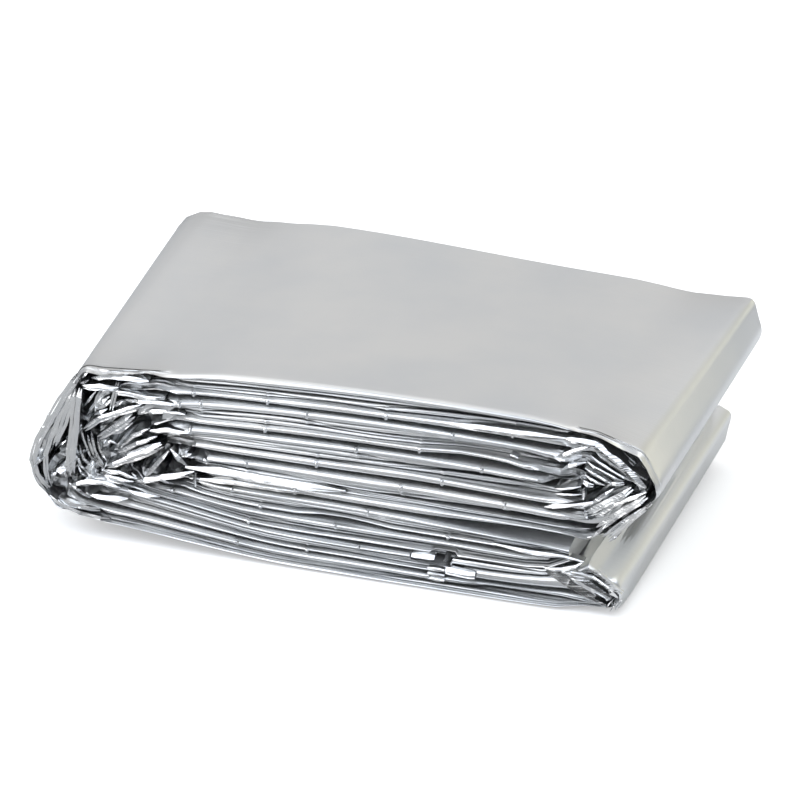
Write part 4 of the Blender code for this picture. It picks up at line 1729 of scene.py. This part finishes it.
        front_tuck, back_tuck = self._along(route.front_tuck), self._along(route.back_tuck)
        free = (STRIP_WIDTH - front_tuck - back_tuck) / STRIP_WIDTH
        y = front_tuck[:, None] + across * free[:, None] + tuck[:, None] * by_front
        rise = rise + Unevenness(5).of(self.swell, np.broadcast_to(travel[:, None], y.shape))
        x = places[..., 0] + rise * normals[..., 0]
        z = places[..., 1] + rise * normals[..., 1]
        loose, sheltered = self._looseness(across, share)
        points = self._creased(np.stack([x, y, z], axis=-1), loose * sheltered)
        points[..., 2] = np.maximum(points[..., 2], PACKET_ORIGIN[2] + CLEAR_OF_GROUND)
        points -= np.array(PACKET_ORIGIN)

        normal = np.stack([normals[..., 0], np.zeros_like(x), normals[..., 1]], axis=-1)
        walk = np.hypot(np.diff(across, axis=1), np.diff(rise, axis=1))
        flat = np.concatenate([np.zeros((len(travel), 1)), np.cumsum(walk, axis=1)], axis=1)
        edge = np.maximum(np.exp(-near / self.edge_reach), loose)
        sheet = np.stack([np.broadcast_to(travel[:, None], flat.shape), flat], axis=-1)
        return self._mesh(points * MM, normal, sheet, loose * sheltered, edge)

    def _halves(self, depth: Array) -> list[Array]:
        """Distance from the strip's middle to its upper and its lower face.

        Args:
            depth: Share of the depth at each point.

        Returns:
            Two arrays, one value for each point.
        """
        uneven, travel, slack = Unevenness(23), self.travel, self.slack
        room = self.route.read(self.route.room, self.columns, depth)
        resting = self._along(self.route.resting)[:, None]
        fill = self._along(self.route.fill)
        front_x = self._along(self.route.places[0, :, 0])
        firmer = self.firm_left - self.firm_lost * ease(front_x, self.firm_from)
        firmer = (1.0 - slack) * firmer
        found = []
        for side in range(2):
            ragged = uneven.of(self.ragged_wave, travel, side) - self.ragged_below
            ragged = ragged * self.ragged * slack
            even = uneven.of(self.even_wave, travel, side) + firmer
            taken = (fill + ragged + even)[:, None] * room[..., side] / 2
            open_side = ease(room[..., side], self.open_room)
            half = np.minimum(taken, self.thickest_half)
            found.append(half * (1 - open_side) + resting * open_side)
        return found

    def _looseness(self, across: Array, share: Array) -> tuple[Array, Array]:
        """How far each point is free to crumple.

        Args:
            across: Place across the strip.
            share: Height in the strip, as a share of its thickness.

        Returns:
            Looseness by place alone, and a factor that calms the packet's outer faces.
        """
        from_edge = np.minimum(np.clip(across, 0, None), np.clip(STRIP_WIDTH - across, 0, None))
        loose = self.slack[:, None] * np.exp(-from_edge / self.loose_reach)
        room = self.route.read(self.route.room, self.columns, across / STRIP_WIDTH)
        bare_above = ease(room[..., 0], self.open_room) * (share + 0.5)
        bare_below = ease(room[..., 1], self.open_room) * (0.5 - share)
        calm = 1.0 - self.outer_calm * np.clip(bare_above + bare_below, 0.0, 1.0)
        return loose, calm

    @staticmethod
    def _creased(points: Array, loose: Array) -> Array:
        """Points with the listed creases, and facets where the film is loose.

        Args:
            points: Places in the packet, the last axis being x, y and z.
            loose: How loose the film is at each.

        Returns:
            The moved places.
        """
        moved = points.copy()
        from_front = np.clip(points[..., 1], 0.0, None)
        for crease in CREASES:
            start = np.array([crease.start_x, crease.start_z])
            along = np.array([crease.end_x, crease.end_z]) - start
            place = points[..., [0, 2]] - start
            length = float(along @ along)
            share = np.clip((place @ along) / length, 0.0, 1.0)
            away = np.linalg.norm(place - share[..., None] * along, axis=-1)
            taper = 1.0 - CREASE_TAPER * share
            amount = np.clip(1.0 - away / (crease.width * taper), 0.0, 1.0)
            fade = np.exp(-from_front / crease.reach)
            moved[..., 1] += crease.depth * amount * fade * np.clip(loose * CREASE_GAIN, 0.0, 1.0)
        for hollow in HOLLOWS:
            away = np.hypot(
                (points[..., 0] - hollow.x) / hollow.half_x,
                (points[..., 2] - hollow.z) / hollow.half_z,
            )
            fade = np.exp(-from_front / HOLLOW_REACH)
            moved[..., 1] += hollow.depth * ease(away, HOLLOW_RIM) * fade
        at_left = ease(points[..., 0], RIDGES_FROM_RIGHT) * loose
        cos, sin = math.cos(RIDGE_TURN), math.sin(RIDGE_TURN)
        turned = points @ np.array([[cos, 0.0, -sin], [0.0, 1.0, 0.0], [sin, 0.0, cos]])
        for kind in (
            Crumple(31, points, (6.5, 5.0, 6.0), (0.9, 0.8, 0.9), loose),
            Crumple(41, points, (2.8, 2.4, 2.4), (0.12, 0.40, 0.12), loose),
            Crumple(51, turned, (10.0, 6.0, 2.8), (0.4, 1.9, 0.5), at_left),
        ):
            for axis in range(3):
                shift = Unevenness(kind.seed + axis).facets(kind.places, kind.cell)
                moved[..., axis] += shift * kind.size[axis] * kind.amount
        fanned = ease(points[..., 2], FAN_FROM_BELOW) * ease(points[..., 2], FAN_FROM_ABOVE)
        fanned = fanned * np.clip(FAN_FROM - points[..., 0], 0.0, FAN_WIDTH)
        moved[..., 2] -= FAN_SLOPE * fanned * np.exp(-from_front / FAN_REACH)
        pinched = ease(points[..., 0], PINCH_FROM_LEFT) * ease(points[..., 2], PINCH_FROM_ABOVE)
        pinched = PINCH_SHARE * pinched * np.exp(-from_front / PINCH_REACH)
        moved[..., 2] += (PINCH_HEIGHT - moved[..., 2]) * pinched
        return moved

    def _mesh(self, points: Array, normal: Array, sheet: Array, loose: Array, edge: Array) -> Thing:
        """Turn the grid of points into a mesh with the attributes that its nodes read.

        Args:
            points: Places, by station and lane, metres.
            normal: Which way the strip faces at each.
            sheet: Places on the flat sheet, millimetres.
            loose: How loose the film is at each.
            edge: How near an edge of the strip each is.

        Returns:
            The film, the narrow folds among it.
        """
        stations, lanes = points.shape[:2]
        log.info("stations %d, lanes %d", stations, lanes)

        def quads(first: int, rows: int, width: int) -> Array:
            """Four corners of each face of a grid whose points start at this number."""
            index = first + np.arange(rows * width).reshape(rows, width)
            return np.stack(
                [index[:-1, :-1], index[:-1, 1:], index[1:, 1:], index[1:, :-1]], axis=-1
            ).reshape(-1, 4)

        faces = [quads(0, stations, lanes)]
        places = [points.reshape(-1, 3)]
        sheets = [sheet.reshape(-1, 2)]
        count = stations * lanes
        strands = [
            rows
            for first, (maker, tucks) in enumerate(TUCK_GROUPS)
            for number, tuck in enumerate(tucks)
            for rows in maker.strands(tuck, 100 * first + number)
        ]
        for number, rows in enumerate(strands):
            faces.append(quads(count, *rows.shape[:2]))
            places.append((rows - np.array(PACKET_ORIGIN)).reshape(-1, 3) * MM)
            sheets.append((rows[..., [0, 2]] + 10.0 * number).reshape(-1, 2))
            count += rows.shape[0] * rows.shape[1]
        added = count - stations * lanes
        mesh = bpy.data.meshes.new("film")
        mesh.from_pydata(np.concatenate(places), [], np.concatenate(faces).tolist())

        layer = mesh.uv_layers.new(name="sheet")
        loops = np.empty(len(mesh.loops), dtype=np.int32)
        mesh.loops.foreach_get("vertex_index", loops)
        layer.data.foreach_set("uv", (np.concatenate(sheets) * MM)[loops].ravel())

        def attribute(name: str, kind: str, values: Array, on_folds: Array) -> None:
            """Give every point a value: one array for the strip, another for the folds."""
            both = np.concatenate([values.reshape(stations * lanes, -1), on_folds])
            made = mesh.attributes.new(name, kind, "POINT")
            made.data.foreach_set(
                "value" if kind == "FLOAT" else "vector", both.astype(np.float32).ravel()
            )

        attribute("looseness", "FLOAT", loose, np.full((added, 1), self.tuck_looseness))
        attribute("edge", "FLOAT", edge, np.ones((added, 1)))
        attribute("lift", "FLOAT_VECTOR", normal, np.tile([0.0, -1.0, 0.0], (added, 1)))
        piece = bpy.data.objects.new("film", mesh)
        bpy.context.scene.collection.objects.link(piece)
        return piece


@dataclass
class FilmCrumple:
    """Geometry Nodes that crumple the film where it is loose, and give it its finish."""

    cell: float = 0.0016  # size of the smallest crumples, metres
    depth: float = 0.0003
    shift: float = 3.7  # moves the pattern, in place of a seed
    firm_crease: float = 40.0  # degrees between faces from which an edge shows, pressed
    loose_crease: float = 11.0  # and where the film is loose

    def apply(self, piece: Thing, material: Material) -> Thing:
        """Crumple the piece and turn the result into a plain mesh.

        Args:
            piece: The smooth film.
            material: Its finish.

        Returns:
            The crumpled film, under the piece's name.
        """
        tree = self._tree()
        modifier = piece.modifiers.new("crumple", "NODES")
        modifier.node_group = tree
        settings = {"Cell": self.cell, "Depth": self.depth, "Shift": self.shift, "Film": material}
        for item in tree.interface.items_tree:
            if item.in_out == "INPUT" and item.name in settings:
                modifier[item.identifier] = settings[item.name]
        piece.data.materials.append(material)
        bpy.context.view_layer.update()
        evaluated = piece.evaluated_get(bpy.context.evaluated_depsgraph_get())
        mesh = bpy.data.meshes.new_from_object(evaluated)
        piece.modifiers.remove(modifier)
        mesh.name = "film"
        piece.data = mesh
        self._sharpen(mesh)
        for name in ("looseness", "lift"):
            mesh.attributes.remove(mesh.attributes[name])
        return piece

    def _sharpen(self, mesh: bpy.types.Mesh) -> None:
        """Mark the edges that show as creases: the looser the film, the slighter they are.

        Args:
            mesh: The crumpled film.
        """
        mesh.shade_smooth()

        def read(items: bpy.types.bpy_prop_collection, name: str, width: int, kind: type) -> Array:
            """A property of every item, width numbers each."""
            values = np.empty(len(items) * width, dtype=kind)
            items.foreach_get(name, values)
            return values.reshape(-1, width)

        loose = read(mesh.attributes["looseness"].data, "value", 1, np.float32)[:, 0]
        normals = read(mesh.polygon_normals, "vector", 3, np.float32)
        edge_of_loop = read(mesh.loops, "edge_index", 1, np.int32)[:, 0]
        face_of_loop = np.arange(len(mesh.polygons)).repeat(4)
        order = np.argsort(edge_of_loop, kind="stable")
        edges, faces = edge_of_loop[order], face_of_loop[order]
        pairs = np.nonzero(edges[1:] == edges[:-1])[0]
        shared = edges[pairs]
        cosine = np.einsum("ij,ij->i", normals[faces[pairs]], normals[faces[pairs + 1]])
        ends = read(mesh.edges, "vertices", 2, np.int32)
        looseness = loose[ends].mean(axis=1)[shared]
        limit = self.firm_crease + (self.loose_crease - self.firm_crease) * np.clip(
            looseness * LOOSE_GAIN, 0.0, 1.0
        )
        sharp = np.zeros(len(mesh.edges), dtype=bool)
        sharp[shared] = cosine < np.cos(np.radians(limit))
        made = mesh.attributes.get("sharp_edge")
        if made is None:
            made = mesh.attributes.new("sharp_edge", "BOOLEAN", "EDGE")
        made.data.foreach_set("value", sharp)

    def _tree(self) -> bpy.types.NodeTree:
        """Build the tree: points move along their lift by the distance to the nearest cell.

        Returns:
            The tree, with inputs for the crumples' sizes and the film's finish.
        """
        tree = bpy.data.node_groups.new("crumple", "GeometryNodeTree")
        bench = NodeBench(tree)
        geometry = "NodeSocketGeometry"
        sizes = dict.fromkeys(("Cell", "Depth", "Shift"), "NodeSocketFloat")
        inputs = {"Geometry": geometry} | sizes | {"Film": "NodeSocketMaterial"}
        for name, kind in inputs.items():
            tree.interface.new_socket(name, in_out="INPUT", socket_type=kind)
        tree.interface.new_socket("Geometry", in_out="OUTPUT", socket_type=geometry)
        given = bench.add("NodeGroupInput").outputs

        def thrice(size: Socket) -> Socket:
            """The same number along all three axes."""
            return bench.add("ShaderNodeCombineXYZ", dict.fromkeys("XYZ", size)).outputs["Vector"]

        def read(name: str, kind: str) -> Socket:
            """An attribute of the film."""
            named = bench.add("GeometryNodeInputNamedAttribute", {"Name": name}, data_type=kind)
            return named.outputs["Attribute"]

        def vector(operation: str, inputs: Inputs) -> Socket:
            """A sum on vectors."""
            made = bench.add("ShaderNodeVectorMath", inputs, operation=operation)
            return made.outputs["Vector"]

        place = bench.add("GeometryNodeInputPosition").outputs["Position"]
        scaled = vector("DIVIDE", {0: place, 1: thrice(given["Cell"])})
        moved = vector("ADD", {0: scaled, 1: thrice(given["Shift"])})
        cells = bench.add("ShaderNodeTexVoronoi", {"Scale": 1.0, "Vector": moved}, feature="F1")
        centred = bench.sum("SUBTRACT", cells.outputs["Distance"], 0.5)
        amount = bench.sum("MULTIPLY", centred, read("looseness", "FLOAT"))
        amount = bench.sum("MULTIPLY", amount, given["Depth"])
        offset = vector("SCALE", {0: read("lift", "FLOAT_VECTOR"), "Scale": amount})

        shape = given["Geometry"]
        for kind, inputs in (
            ("GeometryNodeSetPosition", {"Offset": offset}),
            ("GeometryNodeRealizeInstances", {}),
            ("GeometryNodeSetMaterial", {"Material": given["Film"]}),
        ):
            shape = bench.add(kind, {"Geometry": shape} | inputs).outputs["Geometry"]
        bench.add("NodeGroupOutput", {"Geometry": shape})
        return tree


# ---- The studio


@dataclass
class Studio:
    """A pale floor under a dome, three soft lights, a black card in front, and the camera."""

    azimuth: float = 18.2
    elevation: float = 27.7
    pixels_per_mm: float = 4.9
    picture_side: float = 800.0
    distance: float = 2.8  # metres from the camera to the packet
    middle: Triple = (67.0, 36.0, 20.0)  # a point in the packet, and
    middle_seen_at: Stretch = (394.0, 410.7)  # where the picture shows it
    sensor: float = 36.0
    farthest: float = 100.0  # how far the camera sees, metres
    floor_side: float = 12.0
    card_x: Stretch = (-0.10, 0.5)
    card_y: float = -0.5
    card_z: Stretch = (0.02, 0.34)
    dome_strength: float = 2.15

    def build(self) -> None:
        """Make the floor, the light and the camera."""
        self._floor()
        self._surroundings()
        self._softbox("overhead softbox", (0.0, -0.05, 1.6), (1.3, 0.9), 4.3, mirrored=False)
        self._softbox("side card", (-0.31, -0.53, 0.20), (0.28, 0.38), 0.48)
        self._softbox("left card", (-0.62, -0.26, 0.48), (0.36, 0.36), 0.9)
        self._flag()
        self._camera()
        bpy.context.scene.view_settings.view_transform = "Standard"

    @staticmethod
    def _plate(name: str, corners: list[Triple], material: Material) -> Thing:
        """A flat four-sided thing that belongs to the stage.

        Args:
            name: Its name.
            corners: Its corners, turning left as seen from its front.
            material: Its finish.

        Returns:
            The thing.
        """
        mesh = bpy.data.meshes.new(name)
        mesh.from_pydata(corners, [], [(0, 1, 2, 3)])
        mesh.materials.append(material)
        plate = bpy.data.objects.new(name, mesh)
        bpy.context.scene.collection.objects.link(plate)
        return plate

    def _floor(self) -> None:
        """A large flat floor."""
        half = self.floor_side / 2
        corners = [(-half, -half, 0.0), (half, -half, 0.0), (half, half, 0.0), (-half, half, 0.0)]
        self._plate("floor", corners, FloorFinish().make())

    def _flag(self) -> None:
        """A black card in front of the right half, seen only in what the film mirrors."""
        (left, right), (low, high) = self.card_x, self.card_z
        outline = ((left, high), (right, high), (right, low), (left, low))
        corners = [(x, self.card_y, z) for x, z in outline]
        flag = self._plate("flag", corners, BlackCardFinish().make())
        flag.visible_camera = False
        flag.visible_shadow = False
        flag.visible_diffuse = False

    def _surroundings(self) -> None:
        """A dome, brightest well above the horizon, dim straight overhead and low in front."""
        world = bpy.data.worlds.new("studio")
        world.use_nodes = True
        bpy.context.scene.world = world
        bench = NodeBench(world.node_tree)
        direction = bench.add("ShaderNodeTexCoord").outputs["Generated"]
        parts = bench.add("ShaderNodeSeparateXYZ", {"Vector": direction}).outputs

        def by_height(tint: Triple, brightness: dict[float, float]) -> Socket:
            """Colours by height over the horizon.

            Args:
                tint: The colour at brightness 1.
                brightness: The brightness at some heights.

            Returns:
                The colour.
            """
            ramp = bench.add("ShaderNodeValToRGB", {"Fac": parts["Z"]})
            stops = list(brightness.items())
            elements = ramp.color_ramp.elements
            for element, (height, level) in zip(elements, (stops[0], stops[-1])):
                element.position = height
                element.color = (*(level * part for part in tint), 1.0)
            for height, level in stops[1:-1]:
                elements.new(height).color = (*(level * part for part in tint), 1.0)
            return ramp.outputs["Color"]

        def by_side(axis: str, start: float, end: float) -> Socket:
            """Share of the way from one side to the other, along an axis."""
            limits = {"Value": parts[axis], "From Min": start, "From Max": end}
            share = bench.add("ShaderNodeMapRange", limits, interpolation_type="SMOOTHSTEP")
            return share.outputs["Result"]

        def blend(share: object, first: object, second: object) -> Socket:
            """A colour between two."""
            inputs = {"Factor": share, "A": first, "B": second}
            return bench.add("ShaderNodeMix", inputs, data_type="RGBA").outputs["Result"]

        low = {0.0: 0.07, 0.2: 0.09, 0.45: 0.20, 0.6: 0.58}
        front = by_height((0.95, 1.0, 1.08), low | {0.8: 0.95, 0.88: 0.85, 0.95: 0.2})
        high = {0.82: 0.70, 0.89: 0.60, 0.95: 0.2}
        low = {0.0: 0.25, 0.3: 0.25, 0.5: 0.22, 0.68: 0.26}
        back = by_height((1.0, 1.0, 1.0), low | high)
        low = {0.0: 0.45, 0.3: 0.32, 0.5: 0.24, 0.7: 0.31}
        right = by_height((1.0, 0.99, 0.87), low | high)
        behind = blend(by_side("X", 0.05, 0.5), back, right)
        whole = blend(by_side("Y", -0.15, 0.35), front, behind)
        backdrop = world.node_tree.nodes["Background"]
        bench.feed(backdrop, {"Color": whole, "Strength": self.dome_strength})

    @staticmethod
    def _softbox(
        name: str, place: Triple, size: Stretch, power: float, mirrored: bool = True
    ) -> None:
        """A rectangular light that faces the packet and isn't seen itself.

        Args:
            name: Its name.
            place: Where it hangs, metres.
            size: Its width and height, metres.
            power: How bright it is, watts.
            mirrored: Whether the film mirrors it.
        """
        data = bpy.data.lights.new(name, "AREA")
        data.shape = "RECTANGLE"
        data.size, data.size_y = size
        data.energy = power
        light = bpy.data.objects.new(name, data)
        light.location = place
        light.rotation_euler = (-Vector(place)).to_track_quat("-Z", "Y").to_euler()
        light.visible_camera = False
        light.visible_glossy = mirrored
        bpy.context.scene.collection.objects.link(light)

    def _camera(self) -> None:
        """The camera, at the height and from the side that the packet is shown from."""
        a, e = math.radians(self.azimuth), math.radians(self.elevation)
        right = Vector((math.cos(a), math.sin(a), 0.0))
        back = Vector((math.sin(a) * math.cos(e), -math.cos(a) * math.cos(e), math.sin(e)))
        up = back.cross(right)
        centre = self.picture_side / 2
        aside = (centre - self.middle_seen_at[0]) / self.pixels_per_mm
        raised = (self.middle_seen_at[1] - centre) / self.pixels_per_mm
        target = (Vector(self.middle) - Vector(PACKET_ORIGIN) + right * aside + up * raised) * MM
        data = bpy.data.cameras.new("camera")
        data.sensor_width = self.sensor
        seen = self.picture_side / self.pixels_per_mm * MM
        data.lens = data.sensor_width * self.distance / seen
        data.clip_end = self.farthest
        camera = bpy.data.objects.new("camera", data)
        camera.location = target + back * self.distance
        camera.rotation_euler = back.to_track_quat("Z", "Y").to_euler()
        bpy.context.scene.collection.objects.link(camera)
        bpy.context.scene.camera = camera


def main() -> None:
    """Build the blanket and the studio, and log the film's face count."""
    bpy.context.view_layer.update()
    blanket = FoilBlanket()
    film = blanket.build()
    log.info("%s: %d faces", film.name, len(film.data.polygons))
    Studio().build()


if __name__ == "__main__":
    main()
